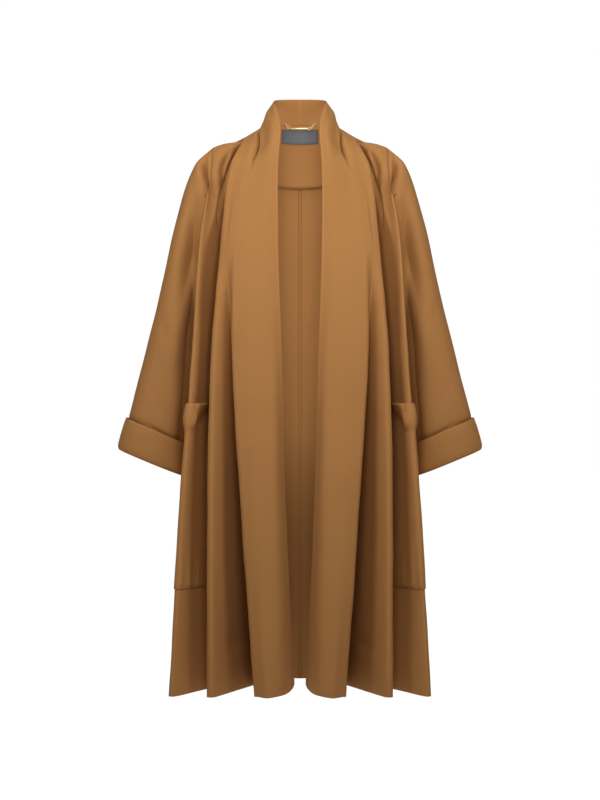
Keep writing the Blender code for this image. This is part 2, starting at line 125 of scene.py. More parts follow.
# Seams are thin, rows of points crowd towards them, the cloth near them lies still and unrubbed, and it
# is darkened along them as painted shade.
SEAM_WIDTH = 0.0022
SEAM_THIN = 0.3
SEAM_DRAW = 1.6
SEAM_DROP = 0.35
LOOSE_FROM = 0.007
RUB_WIDTH = 0.004
RUB_OFF_SEAM = 0.008
EDGE_ROLL = {"share": 0.3, "angle": 1.0, "segments": 2}
WELD_DIGITS = 6
COLLAR_STEPS = (12, 16, 18, 18)
NECK_ROW = sum(COLLAR_STEPS[:2])
YOKE_ROW = sum(COLLAR_STEPS)
UPPER_ROWS = YOKE_ROW - NECK_ROW
LOWER_STEPS = (28, 28, 34, 52)
FRONT_STEP = 14
NOSE_STEP = 4
FOLD_BULB = 0.5
CORNER_FOLDS = ("neck", "shoulder_tip")
DART = {"lap": 0.0008, "lift": 0.0046, "flank": 0.012, "power": 0.6}
DART_HOLLOW = {"width": 0.0036, "depth": 0.0100}
FLAP_SHARES = (0.35, 0.7, 1.0)
FLAP_SINK = 0.25


def unit(vectors):
    return vectors / np.linalg.norm(vectors, axis=-1, keepdims=True)


def on_side(spots, side):
    """Spots of the left half, or their mirror on the right."""
    return spots * np.array([side, 1, 1])


def across_line(vectors, line):
    """The part of each vector that is square to a unit line."""
    return vectors - line * np.sum(vectors * line, axis=-1, keepdims=True)


def ramp(value, low, high):
    """A straight rise from 0 to 1."""
    return np.clip((value - low) / (high - low), 0, 1)


def ease(value, low, high):
    """A smooth rise from 0 to 1."""
    t = ramp(value, low, high)
    return t * t * (3 - 2 * t)


def bell(distance, width):
    """A round swell: 1 where the distance is 0, fading over a width."""
    return np.exp(-(distance / width) ** 2)


def blend(first, last, share):
    """A value on the way from the first to the last."""
    return first + (last - first) * share


def along(line, walk, at):
    """Places on a line where its walk comes to some values."""
    return np.stack([np.interp(at, walk, line[:, k]) for k in range(3)], axis=-1)


def at_heights(line, heights):
    """Places on one hanging line at the given heights."""
    return along(line, -line[:, 2], -heights)


def curve_through(points, steps, start=None, corner=None, draw=1):
    """Smooth curves through points[i, k], i along each curve, with steps[i] pieces a span.

    A draw above 1 crowds the pieces of the first span towards its start.
    """
    spans = np.diff(points, axis=0)
    spans_long = np.linalg.norm(spans, axis=2, keepdims=True)
    slopes = spans / spans_long
    smooth = (points[2:] - points[:-2]) / (spans_long[1:] + spans_long[:-1])
    sharp = 0 if corner is None else corner[1:-1, :, None]
    leaving = slopes.copy()
    leaving[1:] = smooth + sharp * (slopes[1:] - smooth)
    arriving = slopes.copy()
    arriving[:-1] = smooth + sharp * (slopes[:-1] - smooth)
    if start is not None:
        leaving[0] = start
    samples = [points[:1]]
    for i, count in enumerate(steps):
        t = (np.arange(1, count + 1) / count)[:, None, None] ** (1 if i else draw)
        rise = t * t * (3 - 2 * t)
        leave = t * (1 - t) ** 2 * spans_long[i] * leaving[i]
        arrive = t * t * (t - 1) * spans_long[i] * arriving[i]
        samples.append(points[i] * (1 - rise) + points[i + 1] * rise + leave + arrive)
    return np.concatenate(samples)


def lower_stations(fold):
    """The places of a fold line from the yoke down to the hem."""
    yoke, chest, waist, hip, hem = fold[2:7]
    return [yoke, chest, (*waist, WAIST_Z), (*hip, HIP_Z), (*hem[:2], HEM_Z + hem[2])]


def hanging_lines(folds, forward):
    """Fold lines from their top seam to the hem, as rows x folds x 3."""
    stations = np.array([[fold[1], *lower_stations(fold)] for fold in folds]).swapaxes(0, 1)
    over = np.array([[fold[-1]] for fold in folds])
    level = unit(np.array([0, forward, -SEAM_DROP]))
    start = unit(over * level + (1 - over) * unit(stations[1] - stations[0]))
    return curve_through(stations, (UPPER_ROWS, *LOWER_STEPS), start, None, SEAM_DRAW)


def nose_lines(lines, i, nose, turn, over):
    """A fold line and one on each side of it, set so that the cloth turns round a nose."""
    line = lines[:, i]
    last, following = lines[:, i - 1], lines[:, i + 1]
    if not over:
        last, following = at_heights(last, line[:, 2]), at_heights(following, line[:, 2])
    down = unit(np.gradient(line, axis=0))
    arrive = unit(across_line(line - last, down))
    leave = unit(across_line(following - line, down))
    bend = (1 - np.sum(arrive * leave, axis=1, keepdims=True)) / 2
    radius = blend(*nose, np.linspace(0, 1, len(lines))[:, None])
    spread = turn * radius * bend
    behind = 1 if turn > 0 else FOLD_BULB
    before = line - radius * arrive + FOLD_BULB * spread * unit(np.cross(down, arrive))
    after = line + radius * leave + behind * spread * unit(np.cross(down, leave))
    return [before, line, after]


def round_folds(lines, folds, step):
    """Give each ridge and valley a round nose: three lines where it had one."""
    near_seam = np.clip(1 - np.arange(len(lines)) / UPPER_ROWS, 0, 1)
    points = []
    steps = []
    corners = []
    columns = {}
    for i, (name, *_, nose, turn, over) in enumerate(folds):
        if nose is None:
            columns[name] = sum(steps)
            points.append(lines[:, i])
            steps.append(step)
            corners.append(near_seam * (name in CORNER_FOLDS))
        else:
            columns[name] = sum(steps) + NOSE_STEP
            points += nose_lines(lines, i, nose, turn, over)
            steps += [NOSE_STEP, NOSE_STEP, step]
            corners += [0 * near_seam] * 3
    return np.array(points), steps[:-1], np.array(corners), columns


def round_hem_corner(front):
    """Round the hem where it turns up into the front edge."""
    near_hem = ease(front[:, -1:, 2] - front[..., 2], -HEM_CORNER["rise"], 0)
    share = np.clip(np.arange(len(front)) / HEM_CORNER["columns"], 0, 1)
    corner = HEM_CORNER["height"] * (1 - np.sqrt(1 - (1 - share) ** 2))
    front[..., 2] += corner[:, None] * near_hem


def front_sheets():
    """The front below the yoke, its shoulder, and its grown-on collar, with the fold columns."""
    band_folds = FRONT_FOLDS[:3]
    body_folds = FRONT_FOLDS[2:]
    stations = []
    for column, fold in enumerate(band_folds, start=1):
        stations.append([section[column] for section in COLLAR_SECTIONS] + lower_stations(fold))
    along_back = np.array([1.0, 0, 0])
    band_steps = COLLAR_STEPS + LOWER_STEPS
    band = curve_through(np.array(stations).swapaxes(0, 1), band_steps, along_back, None, SEAM_DRAW)
    body, steps, corners, columns = round_folds(hanging_lines(body_folds, -1), body_folds, FRONT_STEP)
    body[0] = band[NECK_ROW:, 2]
    edge_steps = [FRONT_STEP] * 2
    edge_lines = band[YOKE_ROW:, :2].swapaxes(0, 1)
    lower = curve_through(np.concatenate([edge_lines, body[:, UPPER_ROWS:]]), edge_steps + steps)
    shoulder = curve_through(body[:, :UPPER_ROWS + 1], steps, None, corners[:, :UPPER_ROWS + 1])
    collar = curve_through(band[:YOKE_ROW + 1].swapaxes(0, 1), edge_steps)
    dart = sum(edge_steps)
    shoulder[1:columns["shoulder_tip"] + 1, 0, 1] = SHOULDER_Y
    shoulder[:, -1] = lower[dart:, 0]
    collar[:, -1] = lower[:dart + 1, 0]
    lower_columns = {name: dart + column for name, column in columns.items()}
    round_hem_corner(lower)
    return lower, shoulder, collar, columns, lower_columns


def lengths(sheet):
    """How far each point lies across and down its sheet, along the cloth."""
    walk_across = np.zeros(sheet.shape[:2])
    walk_across[1:] = np.cumsum(np.linalg.norm(np.diff(sheet, axis=0), axis=2), axis=0)
    walk_down = np.zeros(sheet.shape[:2])
    walk_down[:, 1:] = np.cumsum(np.linalg.norm(np.diff(sheet, axis=1), axis=2), axis=1)
    return walk_across, walk_down


def sheet_normals(sheet, outward=1, tube=False):
    """Unit normals of a sheet, away from the wearer."""
    if tube:
        rounds = np.roll(sheet, -1, axis=0) - np.roll(sheet, 1, axis=0)
    else:
        rounds = np.gradient(sheet, axis=0)
    return outward * unit(np.cross(np.gradient(sheet, axis=1), rounds))


def path_distance(spots, path):
    """Distance of flat spots to a path that runs down, its share there, and which lie outwards."""
    path = np.array(path)
    spans = np.diff(path, axis=0)
    legs = np.linalg.norm(spans, axis=1)
    starts = np.concatenate([[0], np.cumsum(legs)])
    best = np.full(spots.shape[:-1], np.inf)
    share = np.zeros(spots.shape[:-1])
    outer = np.zeros(spots.shape[:-1], bool)
    for i, span in enumerate(spans):
        away = spots - path[i]
        t = np.clip((away @ span) / legs[i] ** 2, 0, 1)
        distance = np.linalg.norm(away - t[..., None] * span, axis=-1)
        nearer = distance < best
        best = np.where(nearer, distance, best)
        share = np.where(nearer, (starts[i] + t * legs[i]) / starts[-1], share)
        outer = np.where(nearer, span[0] * away[..., 1] - span[1] * away[..., 0] > 0, outer)
    return best, share, outer


def press_creases(sheet, normals, creases, side, facing):
    """Press soft troughs and ridges into what faces the front (-1) or the back (1)."""
    move = np.zeros(sheet.shape[:2])
    seen = ramp(facing * normals[..., 1], CREASE_FACING["none"], CREASE_FACING["full"])
    for _, on, path, width_in, width_out, depth in creases:
        if on not in (0, side):
            continue
        distance, share, outer = path_distance(sheet[..., [0, 2]], path)
        width = np.where(outer, width_out, width_in)
        fade = np.clip(CREASE_ENDS["gain"] * share * (1 - share), 0, 1) ** CREASE_ENDS["power"]
        move += depth * bell(distance, width) * fade * seen
    return move


def soft_handle(sheet, side):
    """The slight unevenness of cloth that hangs by its own weight."""
    spots = on_side(sheet, side)
    waves = np.zeros(sheet.shape[:2])
    for *turns, phase, weight in HANDLE_WAVES:
        waves += weight * np.sin(spots @ np.array(turns) + phase)
    return HANDLE * waves / sum(wave[-1] for wave in HANDLE_WAVES)


def dress(sheet, normals, creased, side, seam_distance):
    """A sheet with its creases and handle, still where it is sewn."""
    loose = 1 - bell(seam_distance, LOOSE_FROM)
    move = loose * (creased + soft_handle(sheet, side))
    return sheet + normals * move[..., None]


def dart_lap(collar, shoulder):
    """Lap the collar's flank over the shoulder along the neck dart."""
    t = np.linspace(0, 1, UPPER_ROWS + 1)
    lap = np.clip(np.sin(np.pi * t ** DART["power"]), 0, 1) ** DART["power"]
    across = lengths(collar)[0]
    lift = np.zeros(collar.shape[1])
    lift[NECK_ROW:] = DART["lift"] * lap
    lift = lift * bell(across[-1:] - across, DART["flank"])
    collar = collar + sheet_normals(collar) * lift[..., None]
    normals = sheet_normals(shoulder)
    walk = lengths(shoulder)[0]
    reach = walk / DART_HOLLOW["width"]
    hollow = DART_HOLLOW["depth"] * reach * np.exp(1 - reach)
    shoulder = shoulder - normals * (hollow * lap)[..., None]
    flap = [collar[-1]]
    for share in FLAP_SHARES:
        column = collar[-1].copy()
        stand = DART["lift"] * lap * (1 - FLAP_SINK * share)
        for r in range(UPPER_ROWS):
            at = share * DART["lap"] * lap[r]
            out = along(normals[:, r], walk[:, r], at)
            column[NECK_ROW + r] = along(shoulder[:, r], walk[:, r], at) + out * stand[r]
        flap.append(column)
    return shoulder, collar, np.array(flap)[:, NECK_ROW:]


class Yarn:
    """A socket in a set of nodes. Sums and products of yarns add Math nodes."""

    def __init__(self, nodes, socket):
        self.nodes = nodes
        self.socket = socket

    def math(self, operation, *values):
        return self.nodes.node("ShaderNodeMath", {"operation": operation}, dict(enumerate(values)))

    def __add__(self, other):
        return self.math("ADD", self, other)

    __radd__ = __add__

    def __sub__(self, other):
        return self.math("SUBTRACT", self, other)

    def __rsub__(self, other):
        return self.math("SUBTRACT", other, self)

    def __mul__(self, other):
        return self.math("MULTIPLY", self, other)

    __rmul__ = __mul__

    def __truediv__(self, other):
        return self.math("DIVIDE", self, other)

    def __mod__(self, other):
        return self.math("MODULO", self, other)

    def ribs(self, pitch):
        """Even ribs one pitch apart, from 0 to 1."""
        turned = self * (2 * np.pi / pitch)
        return turned.math("SINE", turned) * 0.5 + 0.5


class Nodes:
    """A node tree, and the one way to add nodes to it."""

    def __init__(self, tree):
        self.tree = tree

    def put(self, socket, value):
        if isinstance(value, Yarn):
            self.tree.links.new(value.socket, socket)
        else:
            socket.default_value = value

    def node(self, kind, settings=None, sockets=None, output=0):
        node = self.tree.nodes.new(kind)
        for name, value in (settings or {}).items():
            setattr(node, name, value)
        for key, value in (sockets or {}).items():
            self.put(node.inputs[key], value)
        return Yarn(self, node.outputs[output])


class Finish(Nodes):
    """A material with its Principled shader."""

    def __init__(self, name):
        self.material = bpy.data.materials.new(name)
        self.material.use_nodes = True
        super().__init__(self.material.node_tree)

    def place(self):
        return self.node("ShaderNodeTexCoord", output="Object")

    def split(self, vector):
        """The first and second part of a vector."""
        parts = self.node("ShaderNodeSeparateXYZ", None, {0: vector})
        return parts, Yarn(self, parts.socket.node.outputs[1])

    def walk(self):
        """Lengths across and down the cloth."""
        return self.split(self.node("ShaderNodeUVMap", {"uv_map": "cloth"}))

    def noise(self, scale, detail):
        sockets = {"Vector": self.place(), "Scale": scale, "Detail": detail}
        return self.node("ShaderNodeTexNoise", None, sockets)

    def mark(self, name):
        """A value stored in the mesh."""
        return self.node("ShaderNodeAttribute", {"attribute_name": name}, None, "Fac")

    def mix(self, share, first, second):
        """A blend of two colours, by the Mix node's colour sockets 6 and 7 and its output 2."""
        sockets = {"Factor": share, 6: first, 7: second}
        return self.node("ShaderNodeMix", {"data_type": "RGBA"}, sockets, 2)

    def bump(self, height, strength, distance):
        sockets = {"Strength": strength, "Distance": distance, "Height": height}
        return self.node("ShaderNodeBump", None, sockets)

    def surface(self, **sockets):
        shader = self.tree.nodes["Principled BSDF"]
        for name, value in sockets.items():
            self.put(shader.inputs[name.replace("_", " ")], value)
        return self.material


def shade(colour, factor):
    """A colour made paler or darker."""
    return tuple(min(1.0, factor * c) for c in colour[:3]) + (1.0,)


WOOL_LIGHT = (0.455, 0.212, 0.069, 1)
WOOL_DARK = (0.375, 0.170, 0.051, 1)
WOOL_YARN = {"pitch": 0.0011, "weft_lean": 0.35, "weft_count": 1.7}
WOOL_NOISE = {"nap": (900.0, 3.0), "melange": (260.0, 4.0), "cloud": (7.0, 2.0)}
WOOL_TONE = {"melange": 0.55, "twill": 0.18, "cloud": 0.45, "less": 0.09}
WOOL_RUB = {"shade": 1.16, "amount": 0.35}
WOOL_SEAM_SHADE = {"shade": 0.5, "amount": 0.55}
WOOL_HEIGHT = {"twill": 0.45, "weft": 0.3, "nap": 0.6}
WOOL_BUMP = {"strength": 0.35, "distance": 0.00025}
WOOL_ROUGH = {"most": 0.94, "nap": 0.14}
WOOL_SHEEN = {"Specular_IOR_Level": 0.12, "Sheen_Weight": 0.05, "Sheen_Roughness": 0.4,
              "Sheen_Tint": (1.0, 0.74, 0.42, 1.0)}


def wool_finish():
    """Matte wool twill with a soft nap: yarns, mottled fibres, edges rubbed paler, and painted shade
    along seams.
    """
    wool = Finish("camel_wool")
    u, v = wool.walk()
    twill = (u + v).ribs(WOOL_YARN["pitch"])
    weft = (u * WOOL_YARN["weft_lean"] - v).ribs(WOOL_YARN["pitch"] / WOOL_YARN["weft_count"])
    nap, melange, cloud = [wool.noise(*WOOL_NOISE[name]) for name in ("nap", "melange", "cloud")]
    tone = melange * WOOL_TONE["melange"] + twill * WOOL_TONE["twill"]
    tone = tone + cloud * WOOL_TONE["cloud"] - WOOL_TONE["less"]
    colour = wool.mix(tone, WOOL_DARK, WOOL_LIGHT)
    edge_wear_and_shade = wool.mark("edge") * WOOL_RUB["amount"]
    colour = wool.mix(edge_wear_and_shade, colour, shade(WOOL_LIGHT, WOOL_RUB["shade"]))
    # Painted shade: the wool goes darker along the seams and shade lines stored in the seam mark.
    sewn = wool.mark("seam") * WOOL_SEAM_SHADE["amount"]
    colour = wool.mix(sewn, colour, shade(WOOL_DARK, WOOL_SEAM_SHADE["shade"]))
    height = twill * WOOL_HEIGHT["twill"] + weft * WOOL_HEIGHT["weft"] + nap * WOOL_HEIGHT["nap"]
    rough = WOOL_ROUGH["most"] - nap * WOOL_ROUGH["nap"]
    bump = wool.bump(height, **WOOL_BUMP)
    return wool.surface(Base_Color=colour, Roughness=rough, Normal=bump, **WOOL_SHEEN)


CAMEL_WOOL = wool_finish()


def add_object(name, data):
    """A new object of the scene."""
    added = bpy.data.objects.new(name, data)
    bpy.context.collection.objects.link(added)
    return added


def weld(sheets, side, tube):
    """One skin of some sheets: places, faces, and lengths along the cloth at each face's corners."""
    places = {}
    faces = []
    walks = []
    for sheet in sheets:
        across, down = lengths(sheet)
        if tube:
            all_round = across[-1] + np.linalg.norm(sheet[0] - sheet[-1], axis=1)
            across = np.concatenate([across, all_round[None]])
            down = np.concatenate([down, down[:1]])
            sheet = np.concatenate([sheet, sheet[:1]])
        index = [[places.setdefault(tuple(spot), len(places)) for spot in line]
                 for line in np.round(sheet, WELD_DIGITS)]
        for c in range(len(sheet) - 1):
            for r in range(sheet.shape[1] - 1):
                corners = ((c, r), (c, r + 1), (c + 1, r + 1), (c + 1, r))[::side]
                face = [index[i][j] for i, j in corners]
                if len(set(face)) == len(face):
                    faces.append(face)
                    walks += [(across[corner], down[corner]) for corner in corners]
    return places, faces, walks


def near_spots(mesh, spots, reach):
    """How close each point of a mesh lies to some spots, from 1 on them to 0."""
    if not spots:
        return np.zeros(len(mesh.vertices))
    tree = KDTree(len(spots))
    for i, spot in enumerate(spots):
        tree.insert(spot, i)
    tree.balance()
    return bell(np.array([tree.find(v.co)[2] for v in mesh.vertices]), reach)


def mark_edges(mesh, shaded_lines):
    """Store nearness to free edges (rubbed paler on wool, a painted shade rim on the label) and to seams
    and lines darkened as painted shade.
    """
    uses = {}
    for polygon in mesh.polygons:
        for key in polygon.edge_keys:
            uses[key] = uses.get(key, 0) + 1
    rim = sorted({v for key, count in uses.items() if count == 1 for v in key})
    # Painted shade: the seam mark darkens the cloth near these lines.
    seam_thin_and_shade = near_spots(mesh, shaded_lines, SEAM_WIDTH)
    # The edge mark is real wear on the wool and a painted shade rim on the label.
    edge_wear_and_shade = near_spots(mesh, [mesh.vertices[v].co for v in rim], RUB_WIDTH)
    edge_wear_and_shade *= 1 - near_spots(mesh, shaded_lines, RUB_OFF_SEAM)
    mesh.attributes.new("edge", "FLOAT", "POINT").data.foreach_set("value", edge_wear_and_shade)
    mesh.attributes.new("seam", "FLOAT", "POINT").data.foreach_set("value", seam_thin_and_shade)
    return seam_thin_and_shade


def give_thickness(piece, thickness, seam_thin_and_shade):
    """Thicken a skin, thinner where it is sewn, and roll its edges."""
    wall = piece.modifiers.new("thickness", "SOLIDIFY")
    wall.thickness = thickness
    wall.offset = 0
    if seam_thin_and_shade.any():
        full = piece.vertex_groups.new(name="full thickness")
        for i, share in enumerate(seam_thin_and_shade):
            full.add([i], 1 - share, "REPLACE")
        wall.vertex_group = full.name
        wall.thickness_vertex_group = SEAM_THIN
    roll = piece.modifiers.new("rolled edges", "BEVEL")
    roll.limit_method = "ANGLE"
    roll.angle_limit = EDGE_ROLL["angle"]
    roll.width = thickness * EDGE_ROLL["share"]
    roll.segments = EDGE_ROLL["segments"]


def cloth_piece(name, sheets, side, sewn=(), tube=False, thickness=CLOTH, finish=CAMEL_WOOL):
    """A piece of cloth made of welded sheets, with its seams, edges, thickness and finish."""
    places, faces, walks = weld(sheets, side, tube)
    mesh = bpy.data.meshes.new(name)
    mesh.from_pydata([(side * out, y, z) for out, y, z in places], [], faces)
    mesh.uv_layers.new(name="cloth").data.foreach_set("uv", np.array(walks).ravel())
    # Points near the given lines are thinned and darkened with painted shade.
    seam_thin_and_shade = mark_edges(mesh, [spot for line in sewn for spot in on_side(line, side)])
    mesh.shade_smooth()
    mesh.materials.append(finish)
    piece = add_object(name, mesh)
    give_thickness(piece, thickness, seam_thin_and_shade)
    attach(piece, "root")
    return piece


lower, shoulder, collar, shoulder_columns, lower_columns = front_sheets()


def front_edges():
    """Distances of the front's points from the seams that join it to its neighbours."""
    across, _ = lengths(lower)
    lower_seam = across[-1:] - across
    across, down = lengths(shoulder)
    shoulder_seam = np.minimum(across[-1:] - across, down)
    across, down = lengths(collar)
    collar_seam = down.copy()
    neck = (across[-1:] - across)[:, :NECK_ROW + 1]
    collar_seam[:, :NECK_ROW + 1] = np.minimum(neck, down[:, :NECK_ROW + 1])
    return lower_seam, shoulder_seam, collar_seam


def under_pleat(count, columns):
    """Which columns of a sheet lie under the pleat or beyond it, from 0 to 1."""
    if columns is None:
        return np.zeros((count, 1))
    inside = columns["pleat_ridge"] + NOSE_STEP
    return ease(np.arange(count), inside, columns["pleat_valley"] - NOSE_STEP)[:, None]


def dressed_front(side):
    """The three sheets of one front with its creases, and the flap that laps its dart."""
    sheets = []
    fold_columns = (lower_columns, shoulder_columns, None)
    for sheet, seam, columns in zip((lower, shoulder, collar), front_edges(), fold_columns):
        normals = sheet_normals(sheet)
        under = under_pleat(len(sheet), columns)
        creased = (1 - under) * press_creases(sheet, normals, FACE_CREASES, side, -1)
        creased += under * press_creases(sheet, normals, UNDER_CREASES, side, -1)
        sheets.append(dress(sheet, normals, creased, side, seam))
    below, above, band = sheets
    dart = len(band) - 1
    above[:, -1] = below[dart:, 0]
    band[:, -1] = below[:dart + 1, 0]
    above, band, flap = dart_lap(band, above)
    return below, above, band, flap


for name, side in SIDES.items():
    sheets = dressed_front(side)
    below, above = sheets[:2]
    # The front's seams get painted shade.
    shaded_lines = (below[-1], above[-1], above[:, 0])
    front = cloth_piece(f"front_{name}", sheets, side, shaded_lines)
    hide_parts(f"front_collar_{name}")

# Back: two pieces of the same cloth joined by a centre back seam, and to the fronts at the
# shoulders and sides. The seam is pressed to a narrow flat fell, which shows inside.
BACK_FOLDS = (
    # name, top, yoke, chest, waist, hip, hem (out, y, lift), nose, turn, over
    ("centre_back", (.0000, .0885, .0312), (.0000, .105, -.0925), (.0000, .114, -.25),
     (.0000, .119), (.0000, .124), (.0000, .131, .000), None, 0, 0),
    ("nape", (.0622, .0562, .0262), (.0500, .101, -.0900), (.0520, .117, -.25),
     (.0560, .126), (.0620, .137), (.0720, .156, .000), None, 0, 0),
    ("neck", (.0755, .0070, .0165), (.0780, .094, -.0865), (.0840, .112, -.25),
     (.0970, .113), (.1080, .109), (.1250, .100, .003), None, 0, 1),
    ("shoulder", (.1280, .0056, -.0130), (.1080, .087, -.0850), (.1180, .112, -.25),
     (.1380, .121), (.1520, .133), (.1780, .153, .000), None, 0, 1),
    ("shoulder_tip", (.1732, .0056, -.0245), (.1400, .079, -.0920), (.1500, .104, -.25),
     (.1650, .108), (.1810, .105), (.2120, .104, .003), None, 0, 1),
    ("armhole_back", (.1775, .0620, -.0850), (.1640, .089, -.1480), (.1740, .095, -.25),
     (.1820, .098), (.2050, .107), (.2430, .118, .000), None, 0, 0),
    ("side_back", (.1760, .0760, -.2050), (.1770, .074, -.2600), (.1780, .066, -.33),
     (.1800, .062), (.2030, .064), (.2430, .070, .000), None, 0, 0),
    ("side_seam", (.1660, .0066, -.2850), (.1660, .0066, -.3200), (.1680, .0066, -.37),
     (.1700, .0066), (.1920, .0066), (.2330, .0108, .000), None, 0, 0),
)
BACK_CREASES = (
    # name, on side (0 both), path of (out, z), width in, width out, depth
    ("blade_drag", 1, ((.060, -.120), (.074, -.260), (.080, -.420)), .012, .018, -.0024),
    ("blade_drag_right", -1, ((.054, -.140), (.066, -.300), (.070, -.480)), .014, .018, -.0022),
    ("yoke_fall", 0, ((.030, -.200), (.034, -.420), (.036, -.640)), .012, .016, -.0016),
    ("armhole_drag", 1, ((.168, -.150), (.150, -.230), (.136, -.330)), .012, .008, -.0030),
    ("armhole_drag_right", -1, ((.168, -.160), (.152, -.220), (.142, -.290)), .011, .007, -.0028),
    ("waist_fall", 1, ((.110, -.440), (.118, -.640), (.128, -.860)), .012, .014, -.0024),
    ("waist_fall_right", -1, ((.104, -.400), (.114, -.600), (.120, -.800)), .013, .013, -.0026),
    ("hem_fall", 0, ((.092, -.820), (.098, -.960), (.102, -1.104)), .012, .012, -.0018),
    ("side_fall", -1, ((.186, -.600), (.200, -.800), (.214, -1.000)), .012, .012, -.0018),
)
BACK_STEPS = (12, 16, 12, 12, 12, 12, 12)
FELL = {"width": 0.0076, "thickness": 0.0009, "lift": 0.0006, "lines": 5, "rows_tucked": 4}


def front_outline(out):
    """Height of the front's upper layer along the shoulder seam."""
    seam = shoulder[:shoulder_columns["shoulder_tip"] + 1, 0]
    low = np.minimum(seam[:-1, 0], seam[1:, 0])
    high = np.maximum(seam[:-1, 0], seam[1:, 0])
    crossing = (low <= out) & (out <= high)
    share = (out - seam[:-1, 0]) / np.where(high > low, seam[1:, 0] - seam[:-1, 0], 1)
    return blend(seam[:-1, 2], seam[1:, 2], share)[crossing].max()


def back_sheet():
    """One half of the back, its edges on those of the collar and front, with the fold columns."""
    lines, _, corners, _ = round_folds(hanging_lines(BACK_FOLDS, 1), BACK_FOLDS, BACK_STEPS[0])
    columns = {fold[0]: sum(BACK_STEPS[:i]) for i, fold in enumerate(BACK_FOLDS)}
    back = curve_through(lines, BACK_STEPS, np.array([1.0, 0, 0]), corners, SEAM_DRAW)
    back[:columns["neck"] + 1, 0] = collar[-1, :NECK_ROW + 1]
    for line in back[columns["neck"] + 1:columns["shoulder_tip"]]:
        line[0, 1] = SHOULDER_Y
        line[0, 2] = front_outline(line[0, 0])
    back[columns["shoulder_tip"], 0] = shoulder[shoulder_columns["shoulder_tip"], 0]
    back[-1] = np.concatenate([shoulder[-1, :-1], lower[-1]])
    return back, columns


back, back_columns = back_sheet()


def dressed_back(side):
    across, down = lengths(back)
    seam = np.minimum(np.minimum(across, across[-1:] - across), down)
    normals = sheet_normals(back, -1)
    return dress(back, normals, press_creases(back, normals, BACK_CREASES, side, 1), side, seam)


for name, side in SIDES.items():
    half = dressed_back(side)
    # The back's seams get painted shade.
    shaded_lines = (half[0], half[-1], half[:, 0])
    back_piece = cloth_piece(f"back_piece_{name}", (half,), side, shaded_lines)
    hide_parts(f"back_{name}")


def fell_sheet():
    """The flat fell of the centre back seam, inside, from under the facing to the hem."""
    line = back[0, UPPER_ROWS - FELL["rows_tucked"]:-1]
    outs = np.linspace(-FELL["width"] / 2, FELL["width"] / 2, FELL["lines"])
    return np.array([line + np.array([out, -CLOTH / 2 - FELL["lift"], 0]) for out in outs])


fell_lines = fell_sheet()
# Both long edges of the fell are darkened with painted shade.
fell = cloth_piece("centre_back_fell", (fell_lines,), 1, (fell_lines[0], fell_lines[-1]),
                   thickness=FELL["thickness"])

# Sleeves: one wide tube on each side, set into the armhole with its seam turned inwards. The
# cloth hangs from the shoulder in long soft troughs at the front and back of the arm.
SLEEVE_SECTIONS = (
    # name, outer, inner, front, back, valley angle, share
    ("head", (.2085, -.0600), (.1745, -.2960), .062, .076, 62, 0.15),
    ("upper_arm", (.2433, -.1615), (.1795, -.3350), .066, .076, 84, 0.9),
    ("elbow", (.2834, -.3380), (.1865, -.4300), .068, .072, 120, 1.1),
    ("forearm", (.3194, -.4800), (.2000, -.5650), .066, .066, 137, 0.9),
    ("end", (.3570, -.6270), (.2150, -.6850), .062, .060, 142, 0.15),
)
SLEEVE_AXIS_Y = 0.006
SLEEVE_FLATNESS = {"outer": 0.45, "reach": 0.35}
CUFF_PINCH = {"height": 0.0615, "width": 0.0040, "depth": 0.0075}
SLEEVE_VALLEY = {"outside": 22, "inside": 44, "depth": .034}
SLEEVE_TROUGHS = (
    # angle, half width, depth
    (232, 30, .012),
    (300, 22, .006),
)
SLEEVE_CREASES = (
    # name, on side (0 both), path of (out, z), width in, width out, depth
    ("head_crease", 0, ((.1890, -.046), (.1870, -.082), (.1832, -.106), (.1850, -.140)),
     .0035, .006, -.0200),
    ("head_roll", 0, ((.203, -.055), (.201, -.090), (.200, -.140)), .007, .010, .0022),
    ("arm_ridge", 0, ((.199, -.120), (.2015, -.190), (.204, -.250)), .005, .006, .0030),
    ("elbow_drag", 1, ((.276, -.330), (.258, -.386), (.236, -.420)), .009, .009, -.0016),
    ("elbow_drag_right", -1, ((.282, -.360), (.262, -.400), (.240, -.426)), .010, .010, -.0018),
    ("fore_drag", 1, ((.306, -.470), (.288, -.520), (.262, -.552)), .010, .010, -.0012),
)
SLEEVE_BACK_CREASES = (
    # name, on side (0 both), path of (out, z), width in, width out, depth
    ("back_drag", 1, ((.196, -.150), (.216, -.260), (.232, -.380)), .012, .012, -.0030),
    ("back_drag_right", -1, ((.198, -.170), (.214, -.270), (.228, -.360)), .011, .011, -.0032),
    ("elbow_fold", 1, ((.282, -.372), (.262, -.420), (.240, -.440)), .009, .009, -.0024),
    ("elbow_fold_right", -1, ((.280, -.390), (.258, -.432), (.236, -.448)), .010, .010, -.0022),
    ("fore_fall", 0, ((.268, -.460), (.280, -.540), (.292, -.620)), .012, .012, -.0018),
)
SLEEVE_STEPS = (14, 18, 22, 22, 22)
SLEEVE_COLUMNS = 200


def armhole_ring(side):
    """The sleeve's sewn edge and its angles, from the shoulder tip over the front and back."""
    front_edge = dressed_front(side)[1][shoulder_columns["shoulder_tip"]:, 0]
    back_edge = dressed_back(side)[back_columns["shoulder_tip"]:, 0]
    even = np.linspace(0, 1, SLEEVE_COLUMNS // 2, endpoint=False)
    spots = []
    angles = []
    for start, edge in ((0, front_edge), (np.pi, back_edge[::-1])):
        walk = lengths(edge[:, None])[0][:, 0]
        spots.append(along(edge, walk, even * walk[-1]))
        angles.append(start + np.pi * even)
    return np.concatenate(spots), np.concatenate(angles)


